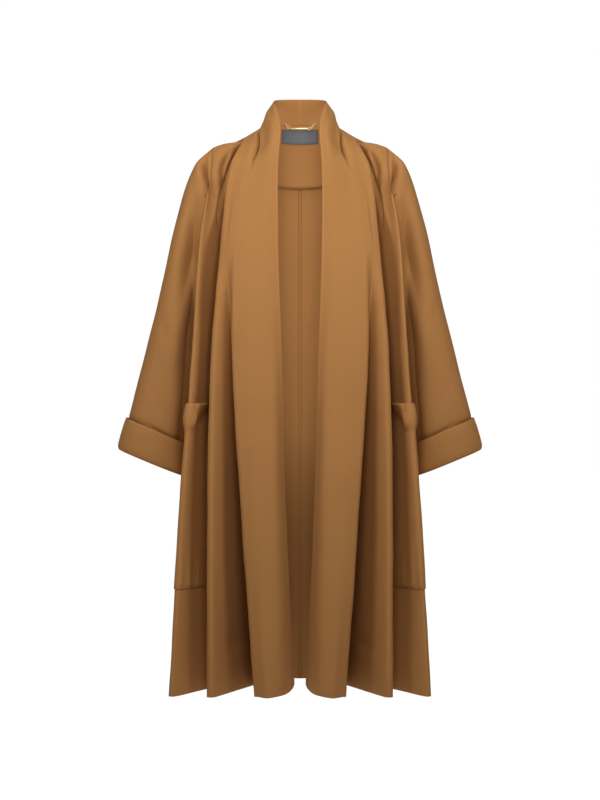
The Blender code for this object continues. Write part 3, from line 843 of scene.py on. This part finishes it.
def sleeve_sheet(ring, angle):
    """The sleeve from the armhole to its end, as columns round it x rows."""
    sections = [ring]
    trough = np.zeros(len(angle))
    for centre, width, depth in SLEEVE_TROUGHS:
        trough += depth * bell(np.degrees(angle) - centre, width)
    flatter = SLEEVE_FLATNESS["outer"] * np.clip(np.cos(angle) + SLEEVE_FLATNESS["reach"], 0, 1)
    bow = np.sign(np.sin(angle)) * np.abs(np.sin(angle)) ** (1 - flatter)
    for _, outer, inner, front, back_reach, valley, share in SLEEVE_SECTIONS:
        outer, inner = np.array(outer), np.array(inner)
        middle, reach = (outer + inner) / 2, (outer - inner) / 2
        flat = middle + np.cos(angle)[:, None] * reach
        depth = np.where(np.sin(angle) > 0, front, back_reach)
        section = np.stack([flat[:, 0], SLEEVE_AXIS_Y - bow * depth, flat[:, 1]], axis=1)
        centre = np.array([middle[0], SLEEVE_AXIS_Y, middle[1]])
        beside = np.degrees(angle) - valley
        width = np.where(beside < 0, SLEEVE_VALLEY["outside"], SLEEVE_VALLEY["inside"])
        sunk = share * (trough + SLEEVE_VALLEY["depth"] * bell(beside, width))
        sections.append(section + sunk[:, None] * unit(centre - section))
    return curve_through(np.array(sections), SLEEVE_STEPS, None, None, SEAM_DRAW).swapaxes(0, 1)


def dressed_sleeve(side):
    """One sleeve with its creases, pinched behind the cuff's upper edge, and its angles."""
    ring, angle = armhole_ring(side)
    sleeve = sleeve_sheet(ring, angle)
    normals = sheet_normals(sleeve, -1, True)
    _, down = lengths(sleeve)
    move = press_creases(sleeve, normals, SLEEVE_CREASES, side, -1)
    move += press_creases(sleeve, normals, SLEEVE_BACK_CREASES, side, 1)
    pinch = bell(down[:, -1:] - down - CUFF_PINCH["height"], CUFF_PINCH["width"])
    move -= CUFF_PINCH["depth"] * pinch * np.abs(np.sin(angle))[:, None]
    return dress(sleeve, normals, move, side, down), angle


def ring_at(sleeve, height):
    """The places round a sleeve at a height above its end."""
    walks = lengths(sleeve)[1]
    return np.array([along(line, walk, walk[-1] - height) for line, walk in zip(sleeve, walks)])


for name, side in SIDES.items():
    sleeve, _ = dressed_sleeve(side)
    # The armhole seam gets painted shade, and the ring just above the cuff's upper edge gets a painted
    # shadow line.
    seam_and_cuff_shadow = (sleeve[:, 0], ring_at(sleeve, CUFF_PINCH["height"]))
    sleeve_tube = cloth_piece(f"sleeve_tube_{name}", (sleeve,), side, seam_and_cuff_shadow, tube=True)
    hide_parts(f"sleeve_{name}")

# Cuffs: the end of each sleeve turned back on itself, a band that stands a little off the
# sleeve, rolls softly round its lower fold and ends in a clean upper edge.
CUFF_PROFILE = (
    # up the sleeve, out from it, steps
    (.0620, .0048, 0),
    (.0450, .0066, 5),
    (.0200, .0076, 6),
    (.0040, .0070, 5),
    (-.0018, .0034, 4),
    (.0006, -.0010, 4),
    (.0120, -.0016, 3),
)
CUFF_RUN_ROWS = 4
CUFF_WAVES = 3
CUFF_SHIFT = 6
CUFF_CREASES = (
    # angle, half width, depth
    (40, 14, .0010),
    (102, 18, .0026),
    (170, 16, .0012),
    (236, 12, -.0012),
    (310, 16, .0010),
)


def long_waves(ring, kept):
    """A ring's values with only their few longest waves round it."""
    waves = np.fft.rfft(ring, axis=0)
    waves[kept:] = 0
    return np.fft.irfft(waves, len(ring), axis=0)


def cuff_sheet(sleeve, angle, side):
    """The turned-back cuff, from its upper edge down outside the sleeve and in under it."""
    end = sleeve[:, -1]
    up = unit(long_waves(sleeve[:, -CUFF_RUN_ROWS] - end, CUFF_WAVES))
    out = unit(end - end.mean(axis=0))
    wave = np.zeros(len(end))
    for centre, width, depth in CUFF_CREASES:
        wave += depth * bell(np.degrees(angle) - centre - CUFF_SHIFT * side, width)
    rows = []
    for height, stand, _ in CUFF_PROFILE:
        loose = np.clip(height / CUFF_PROFILE[0][0], 0, 1)
        rows.append(end + up * height + out * (stand + loose * wave)[:, None])
    steps = [row[2] for row in CUFF_PROFILE[1:]]
    return curve_through(np.array(rows), steps).swapaxes(0, 1)


for name, side in SIDES.items():
    sheet = cuff_sheet(*dressed_sleeve(side), side)
    cuff = cloth_piece(f"cuff_band_{name}", (sheet,), side, tube=True)
    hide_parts(f"cuff_{name}")

# Patch pockets: a large patch wrapped round the side fold of each front, stitched down at its
# sides and foot. Its mouth gapes, and a folded band of the same cloth finishes it.
POCKET_TOP_Z = -0.538
POCKET_FOOT_Z = -0.895
POCKET_ROWS = 70
POCKET_LIFT = {"edge": 0.0017, "middle": 0.0022, "steep": 3}
POCKET_GAPE = {"reach": 0.0055, "depth": 0.09, "power": 1.5, "opens": (0.74, 0.88), "closes": 0.10}
POCKET_FOOT = {"tuck": 0.0004, "tuck_height": 0.004, "free_from": 0.006, "shift": 0.02}
POCKET_GATHERS = (
    # share across, half width, depth, height up from the foot
    (0.16, .032, .0016, .050),
    (0.27, .026, -.0014, .036),
    (0.38, .034, .0018, .070),
    (0.52, .030, -.0012, .030),
    (0.66, .038, .0014, .055),
    (0.82, .032, -.0012, .040),
)
MOUTH_SLACK = {"forward": 0.029, "fall": 0.050, "inner_fall": 0.024, "full_fall_at": 0.5,
               "ends_at": 0.56, "bow": 0.55}
BAND_ROWS = 16
BAND_INNER_ROWS = 6
BAND_HEIGHT = {"inner": 0.012, "outer": 0.052, "full_at": 0.62}
BAND_STAND = {"lift": 0.0019, "sewn_down": 0.8, "across": (0.35, 0.60), "up": 0.3}
BAND_BULGE = {"depth": 0.0030, "grows": (0.2, 0.6), "fades": 0.2}
BAND_TURN = {"crown": 0.0018, "drop": 0.002, "lap": 0.022, "within": 0.0018, "least": 0.0008}
BAND_CREASES = (
    # name, on side (0 both), path of (out, z), width in, width out, depth
    ("band_fold", 0, ((.172, -.545), (.190, -.556), (.204, -.578)), .006, .008, -.0022),
    ("band_roll", 0, ((.184, -.549), (.199, -.562), (.208, -.586)), .005, .006, .0022),
)


def pocket_ground(front_lower):
    """The side fold's lines and normals that the pocket lies on, and each line's share across."""
    span = slice(lower_columns["side_face"], lower_columns["side_front"] + 1)
    lines = front_lower[span]
    return lines, sheet_normals(front_lower)[span], np.linspace(0, 1, len(lines))


def near_mouth(heights, depth):
    """How near some heights are to the pocket's mouth: 1 at it, 0 a depth below it."""
    return np.clip(1 - (POCKET_TOP_Z - heights) / depth, 0, 1)


def pocket_rise(share, heights):
    """How far the pocket stands off the front: flat at its edges, open at the mouth's outer side."""
    full = np.clip(POCKET_LIFT["steep"] * np.sin(np.pi * share), 0, 1)
    rise = blend(POCKET_LIFT["edge"], POCKET_LIFT["middle"], full)
    mouth = near_mouth(heights, POCKET_GAPE["depth"]) ** POCKET_GAPE["power"]
    outer = ease(share, *POCKET_GAPE["opens"]) * ease(1 - share, 0, POCKET_GAPE["closes"])
    return rise + POCKET_GAPE["reach"] * outer * mouth


def mouth_slack(share, heights):
    """How far the slack inner half of the mouth falls forward, away from the fold it lies in."""
    outwards = ease(share, 0, MOUTH_SLACK["full_fall_at"])
    depth = blend(MOUTH_SLACK["inner_fall"], MOUTH_SLACK["fall"], outwards)
    bow = np.sin(np.pi * np.clip(share / MOUTH_SLACK["ends_at"], 0, 1) ** MOUTH_SLACK["bow"])
    return MOUTH_SLACK["forward"] * bow * ease(near_mouth(heights, depth), 0, 1)


def over_ground(line, normal, share, heights, rise):
    """Places over one line, moved out by rise and forward where the mouth is slack."""
    out = unit(along(normal, -line[:, 2], -heights))
    places = at_heights(line, heights) + out * rise[:, None]
    places[:, 1] -= mouth_slack(share, heights)
    return places, out


def pocket_sheet(front_lower, side):
    """The patch from its mouth to its foot, gathered a little above the foot."""
    heights = np.linspace(POCKET_TOP_Z, POCKET_FOOT_Z, POCKET_ROWS)
    above_foot = heights - POCKET_FOOT_Z
    free = np.clip(above_foot / POCKET_FOOT["free_from"], 0, 1)
    tuck = POCKET_FOOT["tuck"] * bell(above_foot, POCKET_FOOT["tuck_height"])
    columns = []
    for line, normal, share in zip(*pocket_ground(front_lower)):
        rise = pocket_rise(share, heights) - tuck
        for centre, width, depth, reach in POCKET_GATHERS:
            gather = bell(share - centre - POCKET_FOOT["shift"] * side, width)
            rise += depth * gather * bell(above_foot, reach) * free
        rise = np.maximum(rise, POCKET_LIFT["edge"])
        columns.append(over_ground(line, normal, share, heights, rise)[0])
    return np.array(columns)


def band_column(line, normal, share):
    """A column of the band, up outside the mouth, over and a short way down inside, with normals."""
    outwards = ease(share, 0, BAND_HEIGHT["full_at"])
    height = blend(BAND_HEIGHT["inner"], BAND_HEIGHT["outer"], outwards)
    up = np.linspace(0, 1, BAND_ROWS)
    outside = POCKET_TOP_Z - height * (1 - up)
    bulge = BAND_BULGE["depth"] * np.sin(np.pi * up)
    bulge *= ease(share, *BAND_BULGE["grows"]) * ease(1 - share, 0, BAND_BULGE["fades"])
    sewn = ease(share, *BAND_STAND["across"]) * (1 - ease(up, 0, BAND_STAND["up"]))
    stand = BAND_STAND["lift"] * (1 - BAND_STAND["sewn_down"] * sewn)
    rise = pocket_rise(share, outside) + stand + bulge
    places, out = over_ground(line, normal, share, outside, rise)
    lap = min(BAND_TURN["lap"], height)
    inside = np.linspace(POCKET_TOP_Z - BAND_TURN["drop"], POCKET_TOP_Z - lap, BAND_INNER_ROWS)
    under = np.maximum(pocket_rise(share, inside) - BAND_TURN["within"], BAND_TURN["least"])
    within, _ = over_ground(line, normal, share, inside, under)
    over = (places[-1:] + within[:1]) / 2 + np.array([0, 0, BAND_TURN["crown"]])
    return np.concatenate([places, over, within]), np.concatenate([out, 0 * over, 0 * within])


def band_sheet(front_lower, side):
    """The folded band with its creases."""
    columns = [band_column(*ground) for ground in zip(*pocket_ground(front_lower))]
    band, normals = np.array(columns).swapaxes(0, 1)
    return band + normals * press_creases(band, normals, BAND_CREASES, side, -1)[..., None]


for name, side in SIDES.items():
    front_lower = dressed_front(side)[0]
    pocket = cloth_piece(f"pocket_patch_{name}", (pocket_sheet(front_lower, side),), side)
    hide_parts(f"pocket_{name}")
    band = cloth_piece(f"pocket_mouth_{name}", (band_sheet(front_lower, side),), side)
    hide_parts(f"pocket_band_{name}")

# Back neck facing: a half-moon of the same cloth inside the back neck, sewn in with the collar
# and hanging free at its curved lower edge.
FACING_LIFT = {"neck": 0.0019, "foot": 0.0085}
FACING_DIP = {"width": 0.060, "depth": 0.004}


def facing_sheet():
    """One half of the facing, inside the back from the neck to its lower edge."""
    part = (slice(back_columns["neck"] + 1), slice(UPPER_ROWS + 1))
    down = np.linspace(0, 1, UPPER_ROWS + 1)[None, :, None]
    lift = blend(FACING_LIFT["neck"], FACING_LIFT["foot"], down)
    facing = back[part] - lift * sheet_normals(back, -1)[part]
    facing[0, :, 0] = 0
    dip = np.clip(1 - (facing[..., 0] / FACING_DIP["width"]) ** 2, 0, 1)
    facing[..., 2] -= FACING_DIP["depth"] * dip * down[..., 0] ** 2
    return facing


half_facing = facing_sheet()
whole_facing = np.concatenate([on_side(half_facing[:0:-1], -1), half_facing])
# The facing's lower free edge is darkened with painted shade, a painted shadow line under it.
neck_facing = cloth_piece("neck_facing_piece", (whole_facing,), 1, (whole_facing[:, -1],))
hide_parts("neck_facing")

# Label: a plain rectangle of dark grey satin weave on the back neck facing, with its ends folded
# under and stitched down.
LABEL_SIZE = (0.074, 0.029)
LABEL_TOP_Z = 0.0205
LABEL_THICKNESS = 0.0008
LABEL_LIFT = 0.0016
LABEL_GRID = (41, 21)
LABEL_END = {"width": 0.003, "sunk": 0.0004}
LABEL_DARK = (0.096, 0.106, 0.109, 1)
LABEL_LIGHT = (0.146, 0.158, 0.162, 1)
LABEL_RIM_SHADE = {"colour": (0.030, 0.033, 0.036, 1), "amount": 0.45}
LABEL_YARN = {"rib": 0.0006, "pick": 0.0005}
LABEL_SLUB = (500.0, 3.0)
LABEL_TONE = {"ribs": 0.4, "slub": 0.6}
LABEL_HEIGHT = {"ribs": 0.6, "picks": 0.4}
LABEL_BUMP = {"strength": 0.4, "distance": 0.0001}
LABEL_ROUGH = {"most": 0.62, "slub": 0.12}


def facing_y(out, z):
    """How far back the facing lies at a place of the neck."""
    rows = half_facing.swapaxes(0, 1)
    line = np.array([along(row, row[:, 0], abs(out)) for row in rows])
    return np.interp(-z, -line[:, 2], line[:, 1])


def label_sheet():
    """The label's flat rectangle on the facing, a little lower at its ends."""
    width, height = LABEL_SIZE
    columns = []
    for out in np.linspace(-width / 2, width / 2, LABEL_GRID[0]):
        lift = LABEL_LIFT - LABEL_END["sunk"] * bell(width / 2 - abs(out), LABEL_END["width"])
        heights = np.linspace(LABEL_TOP_Z, LABEL_TOP_Z - height, LABEL_GRID[1])
        columns.append([(out, facing_y(out, z) - lift, z) for z in heights])
    return np.array(columns)


def label_finish():
    """Satin label weave: fine ribs along the label, and a rim darkened with painted shade."""
    weave = Finish("label_weave_dark")
    u, v = weave.walk()
    ribs, picks = v.ribs(LABEL_YARN["rib"]), u.ribs(LABEL_YARN["pick"])
    slub = weave.noise(*LABEL_SLUB)
    tone = ribs * LABEL_TONE["ribs"] + slub * LABEL_TONE["slub"]
    colour = weave.mix(tone, LABEL_DARK, LABEL_LIGHT)
    # Painted shade: the label goes darker near its edges.
    rim = weave.mark("edge") * LABEL_RIM_SHADE["amount"]
    colour = weave.mix(rim, colour, LABEL_RIM_SHADE["colour"])
    bump = weave.bump(ribs * LABEL_HEIGHT["ribs"] + picks * LABEL_HEIGHT["picks"], **LABEL_BUMP)
    rough = LABEL_ROUGH["most"] - slub * LABEL_ROUGH["slub"]
    return weave.surface(Base_Color=colour, Roughness=rough, Normal=bump)


label = cloth_piece("label_piece", (label_sheet(),), 1, thickness=LABEL_THICKNESS, finish=label_finish())
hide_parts("label")

# Hanger: a fine gold chain sewn into the neck seam on each side, with a slim flat bar linked
# into its middle. Each link passes through the next at a quarter turn.
CHAIN_ROUTE = ((.0284, .0302), (.0254, .0268), (.0222, .0246), (.0188, .0236))
CHAIN_LIFT = 0.0030
LINK = {"Pitch": 0.0048, "Radius": 0.0030, "Wire": 0.00085}
LINK_OVAL = (1.25, 0.72, 1.0)
LINK_SIDES = {"round": 14, "wire": 7}
BAR_SIZE = (0.0368, 0.0016, 0.0027)
BAR_BOW = {"bend": 0.0016, "tilt": 0.0010}
BAR_GRID = (25, 16)
BAR_ROUND = {"end": 10, "section": 4}
GOLD_BRIGHT = (1.0, 0.86, 0.56, 1)
GOLD_TARNISHED = (0.90, 0.68, 0.34, 1)
GOLD_NOISE = {"tarnish": (420.0, 3.0), "marks": (2600.0, 2.0)}
GOLD_BUMP = {"strength": 0.12, "distance": 0.00005}
GOLD_METALLIC = 0.55
GOLD_ROUGH = {"least": 0.22, "tarnish": 0.15}


class Pattern(Nodes):
    """A Geometry Nodes tree that repeats a shape along a path, with its sizes as inputs."""

    def __init__(self, name, sizes):
        super().__init__(bpy.data.node_groups.new(name, "GeometryNodeTree"))
        face = self.tree.interface
        for way in ("INPUT", "OUTPUT"):
            face.new_socket("Geometry", in_out=way, socket_type="NodeSocketGeometry")
        self.sizes = {}
        for size in sizes:
            socket = face.new_socket(size, in_out="INPUT", socket_type="NodeSocketFloat")
            self.sizes[size] = socket.identifier
        self.source = self.tree.nodes.new("NodeGroupInput")
        self.result = self.tree.nodes.new("NodeGroupOutput")

    def given(self, name):
        return Yarn(self, self.source.outputs[name])

    def lie(self, axis):
        """The turn that lays an axis of a shape along the path."""
        tangent = self.node("GeometryNodeInputTangent")
        return self.node("FunctionNodeAlignRotationToVector", {"axis": axis}, {"Vector": tangent})

    def repeat(self, shape, turn, finish):
        """Put the shape at each pitch of the path, and make it all one smooth mesh."""
        curve = self.node("GeometryNodeMeshToCurve", None, {0: self.given("Geometry")})
        spots = self.node("GeometryNodeResampleCurve", {"mode": "LENGTH"},
                          {0: curve, "Length": self.given("Pitch")})
        laid = self.node("GeometryNodeInstanceOnPoints", None,
                         {"Points": spots, "Instance": shape, "Rotation": turn})
        whole = self.node("GeometryNodeRealizeInstances", None, {0: laid})
        smooth = self.node("GeometryNodeSetShadeSmooth", None, {0: whole})
        dressed = self.node("GeometryNodeSetMaterial", None, {0: smooth, "Material": finish})
        self.put(self.result.inputs[0], dressed)
        return self


def along_paths(name, paths, pattern, sizes):
    """Run a pattern along polylines and keep its result as a plain mesh."""
    spots = []
    edges = []
    for path in paths:
        edges += [(len(spots) + i, len(spots) + i + 1) for i in range(len(path) - 1)]
        spots += [tuple(spot) for spot in path]
    mesh = bpy.data.meshes.new(name + "_path")
    mesh.from_pydata(spots, edges, [])
    carrier = add_object(name + "_path", mesh)
    modifier = carrier.modifiers.new("pattern", "NODES")
    modifier.node_group = pattern.tree
    for size, value in sizes.items():
        modifier[pattern.sizes[size]] = value
    evaluated = carrier.evaluated_get(bpy.context.evaluated_depsgraph_get())
    result = bpy.data.meshes.new_from_object(evaluated)
    result.name = name
    bpy.data.objects.remove(carrier, do_unlink=True)
    piece = add_object(name, result)
    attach(piece, "root")
    return piece


def gold_finish():
    """Gold plate: bright metal with faint tarnish and hairline polish marks."""
    gold = Finish("gold_plate")
    tarnish, marks = gold.noise(*GOLD_NOISE["tarnish"]), gold.noise(*GOLD_NOISE["marks"])
    colour = gold.mix(tarnish, GOLD_BRIGHT, GOLD_TARNISHED)
    rough = tarnish * GOLD_ROUGH["tarnish"] + GOLD_ROUGH["least"]
    bump = gold.bump(marks, **GOLD_BUMP)
    return gold.surface(Base_Color=colour, Metallic=GOLD_METALLIC, Roughness=rough, Normal=bump)


GOLD_PLATE = gold_finish()


def chain_pattern():
    """Oval links along a path, each a quarter turn from the last."""
    chain = Pattern("chain_links", LINK)
    ring = chain.node("GeometryNodeCurvePrimitiveCircle", None,
                      {"Resolution": LINK_SIDES["round"], "Radius": chain.given("Radius")})
    oval = chain.node("GeometryNodeTransform", None, {0: ring, "Scale": LINK_OVAL})
    wire = chain.node("GeometryNodeCurvePrimitiveCircle", None,
                      {"Resolution": LINK_SIDES["wire"], "Radius": chain.given("Wire")})
    link = chain.node("GeometryNodeCurveToMesh", None, {0: oval, 1: wire})
    angle = chain.node("GeometryNodeInputIndex") % 2.0 * (np.pi / 2)
    quarter = chain.node("FunctionNodeAxisAngleToRotation", None, {"Axis": (1, 0, 0), "Angle": angle})
    turned = chain.node("FunctionNodeRotateRotation", {"rotation_space": "LOCAL"},
                        {"Rotation": chain.lie("X"), "Rotate By": quarter})
    return chain.repeat(link, turned, GOLD_PLATE)


CHAIN_LINKS = chain_pattern()
for name, side in SIDES.items():
    run = [(side * out, facing_y(out, z) - CHAIN_LIFT, z) for out, z in CHAIN_ROUTE]
    chain = along_paths(f"chain_{name}", [run], CHAIN_LINKS, LINK)
    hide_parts(f"hanger_chain_{name}")


def tube_faces(stations, sides):
    """Quads between the rings of a tube."""
    faces = []
    for first in range(0, (stations - 1) * sides, sides):
        for j in range(sides):
            k = (j + 1) % sides
            faces.append((first + j, first + k, first + sides + k, first + sides + j))
    return faces


def bar_mesh(name):
    """The flat bar: a rounded strip that bows with the neck, from end to end."""
    width, depth, height = BAR_SIZE
    end_z = CHAIN_ROUTE[-1][1]
    end_y = facing_y(width / 2, end_z) - CHAIN_LIFT
    stations, sides = BAR_GRID
    power = BAR_ROUND["section"]
    spots = []
    for reach in np.linspace(-1, 1, stations):
        end = np.sqrt(max(0.0, 1 - abs(reach) ** BAR_ROUND["end"]))
        y = end_y - BAR_BOW["bend"] * (1 - reach ** 2) - BAR_BOW["tilt"] * reach
        for turn in np.linspace(0, 2 * np.pi, sides, endpoint=False):
            square = (abs(np.cos(turn)) ** power + abs(np.sin(turn)) ** power) ** (-1 / power)
            spots.append((reach * width / 2, y + depth / 2 * square * np.cos(turn) * end,
                          end_z + height / 2 * square * np.sin(turn) * end))
    mesh = bpy.data.meshes.new(name)
    mesh.from_pydata(spots, [], tube_faces(stations, sides))
    mesh.validate()
    mesh.shade_smooth()
    mesh.materials.append(GOLD_PLATE)
    return mesh


bar = add_object("hanger_bar_piece", bar_mesh("hanger_bar_piece"))
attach(bar, "root")
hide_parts("hanger_bar")

# Stitches: rows of tonal thread that hold the pockets, and dark thread at the ends of the label.
# Each stitch is a short bead of thread, half sunk in the cloth.
STITCH = {"Pitch": 0.0034, "Length": 0.0025, "Thread": 0.00032}
STITCH_INSET = 0.004
STITCH_FROM_ROW = 10
LABEL_STITCH = {"Pitch": 0.0020, "Length": 0.0015, "Thread": 0.00022}
LABEL_INSET = {"end": 0.0015, "side": 0.001}
LABEL_STITCH_SPOTS = 15
BEAD_SIDES = {"Segments": 6, "Rings": 5}
CAMEL_THREAD = (0.36, 0.165, 0.052, 1)
DARK_THREAD = (0.022, 0.024, 0.026, 1)
THREAD_PLY = {"noise": (1800.0, 2.0), "shade": 0.7}
THREAD_ROUGH = {"least": 0.5, "ply": 0.2}


def thread_finish(name, colour):
    """Twisted polyester thread, a shade off the cloth."""
    thread = Finish(name)
    ply = thread.noise(*THREAD_PLY["noise"])
    rough = ply * THREAD_ROUGH["ply"] + THREAD_ROUGH["least"]
    mixed = thread.mix(ply, shade(colour, THREAD_PLY["shade"]), colour)
    return thread.surface(Base_Color=mixed, Roughness=rough)


def stitch_pattern(name, finish):
    """Beads of thread laid end to end along a path."""
    row = Pattern(name, STITCH)
    bead = row.node("GeometryNodeMeshUVSphere", None, {**BEAD_SIDES, "Radius": row.given("Thread")})
    stretch = row.given("Length") / row.given("Thread") * 0.5
    scale = row.node("ShaderNodeCombineXYZ", None, {0: 1.0, 1: 1.0, 2: stretch})
    stitch = row.node("GeometryNodeTransform", None, {0: bead, "Scale": scale})
    return row.repeat(stitch, row.lie("Z"), finish)


def patch_stitching(patch, side):
    """The line of stitching down one side of a patch, along its foot and up the other side."""
    face = patch + sheet_normals(patch) * CLOTH / 2
    across, down = lengths(patch)
    last = np.count_nonzero(down[0] <= down[:, -1].mean() - STITCH_INSET) - 1
    inner = []
    outer = []
    for r in range(last + 1):
        inner.append(along(face[:, r], across[:, r], STITCH_INSET))
        outer.append(along(face[:, r], across[:, r], across[-1, r] - STITCH_INSET))
    foot = across[:, last]
    between = (foot > STITCH_INSET) & (foot < foot[-1] - STITCH_INSET)
    return on_side(np.concatenate([inner, face[between, last], outer[::-1]]), side)


def label_paths():
    """The lines of stitching down both ends of the label."""
    width, height = LABEL_SIZE
    top = LABEL_TOP_Z - LABEL_INSET["side"]
    foot = LABEL_TOP_Z - height + LABEL_INSET["side"]
    lift = LABEL_LIFT + LABEL_THICKNESS / 2
    paths = []
    for end in (-1, 1):
        out = end * (width / 2 - LABEL_INSET["end"])
        heights = np.linspace(top, foot, LABEL_STITCH_SPOTS)
        paths.append([(out, facing_y(out, z) - lift, z) for z in heights])
    return paths


CAMEL_STITCHES = stitch_pattern("camel_stitches", thread_finish("camel_thread", CAMEL_THREAD))
LABEL_STITCHES = stitch_pattern("label_stitches", thread_finish("dark_thread", DARK_THREAD))
for name, side in SIDES.items():
    patch = pocket_sheet(dressed_front(side)[0], side)[:, STITCH_FROM_ROW:]
    along_paths(f"pocket_stitches_{name}", [patch_stitching(patch, side)],
                                      CAMEL_STITCHES, STITCH)
label_thread = along_paths("label_stitching", label_paths(), LABEL_STITCHES, LABEL_STITCH)

# Studio: a lit sweep behind the coat that throws light on it, a plain pale floor and wall that
# show in every view, soft boxes in front, high in front, overhead and at both sides, a weak
# strip inside the coat that faces its back, and a camera level with the coat's middle.
FLOOR_Z = -1.42
SWEEP_FLAT = (-5.0, -0.4, 0.4, 5.2)
SWEEP_RADIUS = 1.6
SWEEP_STEPS = 16
SWEEP_TOP = 3.6
SWEEP_HALF_WIDTH = 3.4
WALL_RADIUS = 11.0
WALL_SIDES = {"u_segments": 48, "v_segments": 24}
PAPER_GRAIN = {"noise": (3.0, 2.0), "shades": (0.97, 1.03)}
PAPER_ROUGH = 0.9
REAR_GLOW = {"From Min": -0.1, "From Max": 0.5}
WORLD_STRENGTH = 0.05
CAMERA_Z = -0.53
CAMERA_DISTANCE = 4.0
CAMERA_LENS = 90
CAMERA_SENSOR = 36


def sweep_mesh(name):
    """The floor and the ground behind it, in one curve."""
    profile = [(y, FLOOR_Z) for y in SWEEP_FLAT]
    for turn in np.linspace(0, np.pi / 2, SWEEP_STEPS + 1)[1:]:
        y = SWEEP_FLAT[-1] + SWEEP_RADIUS * np.sin(turn)
        profile.append((y, FLOOR_Z + SWEEP_RADIUS * (1 - np.cos(turn))))
    profile.append((SWEEP_FLAT[-1] + SWEEP_RADIUS, SWEEP_TOP))
    spots = [(x, y, z) for y, z in profile for x in (-SWEEP_HALF_WIDTH, SWEEP_HALF_WIDTH)]
    faces = [(2 * i, 2 * i + 1, 2 * i + 3, 2 * i + 2) for i in range(len(profile) - 1)]
    mesh = bpy.data.meshes.new(name)
    mesh.from_pydata(spots, [], faces)
    mesh.shade_smooth()
    return mesh


def wall_mesh(name):
    """A round wall with a domed top, far outside the lights."""
    form = bmesh.new()
    bmesh.ops.create_uvsphere(form, radius=WALL_RADIUS, **WALL_SIDES)
    bmesh.ops.reverse_faces(form, faces=form.faces)
    mesh = bpy.data.meshes.new(name)
    form.to_mesh(mesh)
    form.free()
    mesh.shade_smooth()
    return mesh


def grey(value):
    return (value, value, value, 1)


def paper_finish(name, albedo, front_glow, rear_glow):
    """Matte paper, lit through from behind the coat."""
    paper = Finish(name)
    _, depth = paper.split(paper.place())
    behind = paper.node("ShaderNodeMapRange", {"interpolation_type": "SMOOTHSTEP"},
                        {"Value": depth, **REAR_GLOW})
    glow = paper.mix(behind, grey(front_glow), grey(rear_glow))
    grain = paper.noise(*PAPER_GRAIN["noise"])
    colour = paper.mix(grain, *(shade(grey(albedo), factor) for factor in PAPER_GRAIN["shades"]))
    return paper.surface(Base_Color=colour, Roughness=PAPER_ROUGH, Emission_Color=glow,
                         Emission_Strength=1.0)


LIT_RAYS = ("visible_diffuse", "visible_glossy", "visible_transmission", "visible_shadow")
STAGE = (
    # name, form, albedo, glow in front and behind, rays that don't meet it
    ("studio_sweep", sweep_mesh, 0.72, 0.0, 0.95, ("visible_camera",)),
    ("studio_floor", sweep_mesh, 0.0, 0.93, 1.0, LIT_RAYS),
    ("studio_wall", wall_mesh, 0.0, 0.90, 0.90, LIT_RAYS),
)
for name, form, albedo, front_glow, rear_glow, rays in STAGE:
    stage = add_object(name, form(name))
    stage.data.materials.append(paper_finish(name + "_paper", albedo, front_glow, rear_glow))
    for ray in rays:
        setattr(stage, ray, False)
LIGHTS = (
    # name, place, target, size across, size up, power
    ("front_box", (0.0, -1.40, -0.06), (0.0, 0.0, -0.10), 0.36, 0.36, 4.5),
    ("front_high", (0.0, -1.25, 0.55), (0.0, 0.0, -0.25), 0.50, 0.50, 6.0),
    ("overhead", (0.0, -0.30, 1.30), (0.0, 0.0, -0.25), 1.0, 1.0, 10.0),
    ("side_left", (1.13, -1.13, 0.10), (0.0, 0.0, -0.25), 0.7, 0.7, 7.0),
    ("side_right", (-1.13, -1.13, 0.10), (0.0, 0.0, -0.25), 0.7, 0.7, 7.0),
    ("inner_strip", (0.0, -0.03, -0.32), (0.0, 0.12, -0.32), 0.08, 0.70, 0.25),
)
for name, place, target, across, up, power in LIGHTS:
    lamp = bpy.data.lights.new(name, "AREA")
    lamp.energy = power
    lamp.shape = "RECTANGLE"
    lamp.size = across
    lamp.size_y = up
    light = add_object(name, lamp)
    light.location = place
    light.rotation_euler = (Vector(target) - Vector(place)).to_track_quat("-Z", "Y").to_euler()
    light.visible_camera = False
world = bpy.data.worlds.new("studio")
world.use_nodes = True
world.node_tree.nodes["Background"].inputs["Color"].default_value = grey(1)
world.node_tree.nodes["Background"].inputs["Strength"].default_value = WORLD_STRENGTH
bpy.context.scene.world = world
bpy.context.scene.view_settings.view_transform = "Standard"
view = bpy.data.cameras.new("photo_camera")
view.lens = CAMERA_LENS
view.sensor_width = CAMERA_SENSOR
camera = add_object("photo_camera", view)
camera.location = (0.0, -CAMERA_DISTANCE, CAMERA_Z)
camera.rotation_euler = (np.pi / 2, 0, 0)
bpy.context.scene.camera = camera
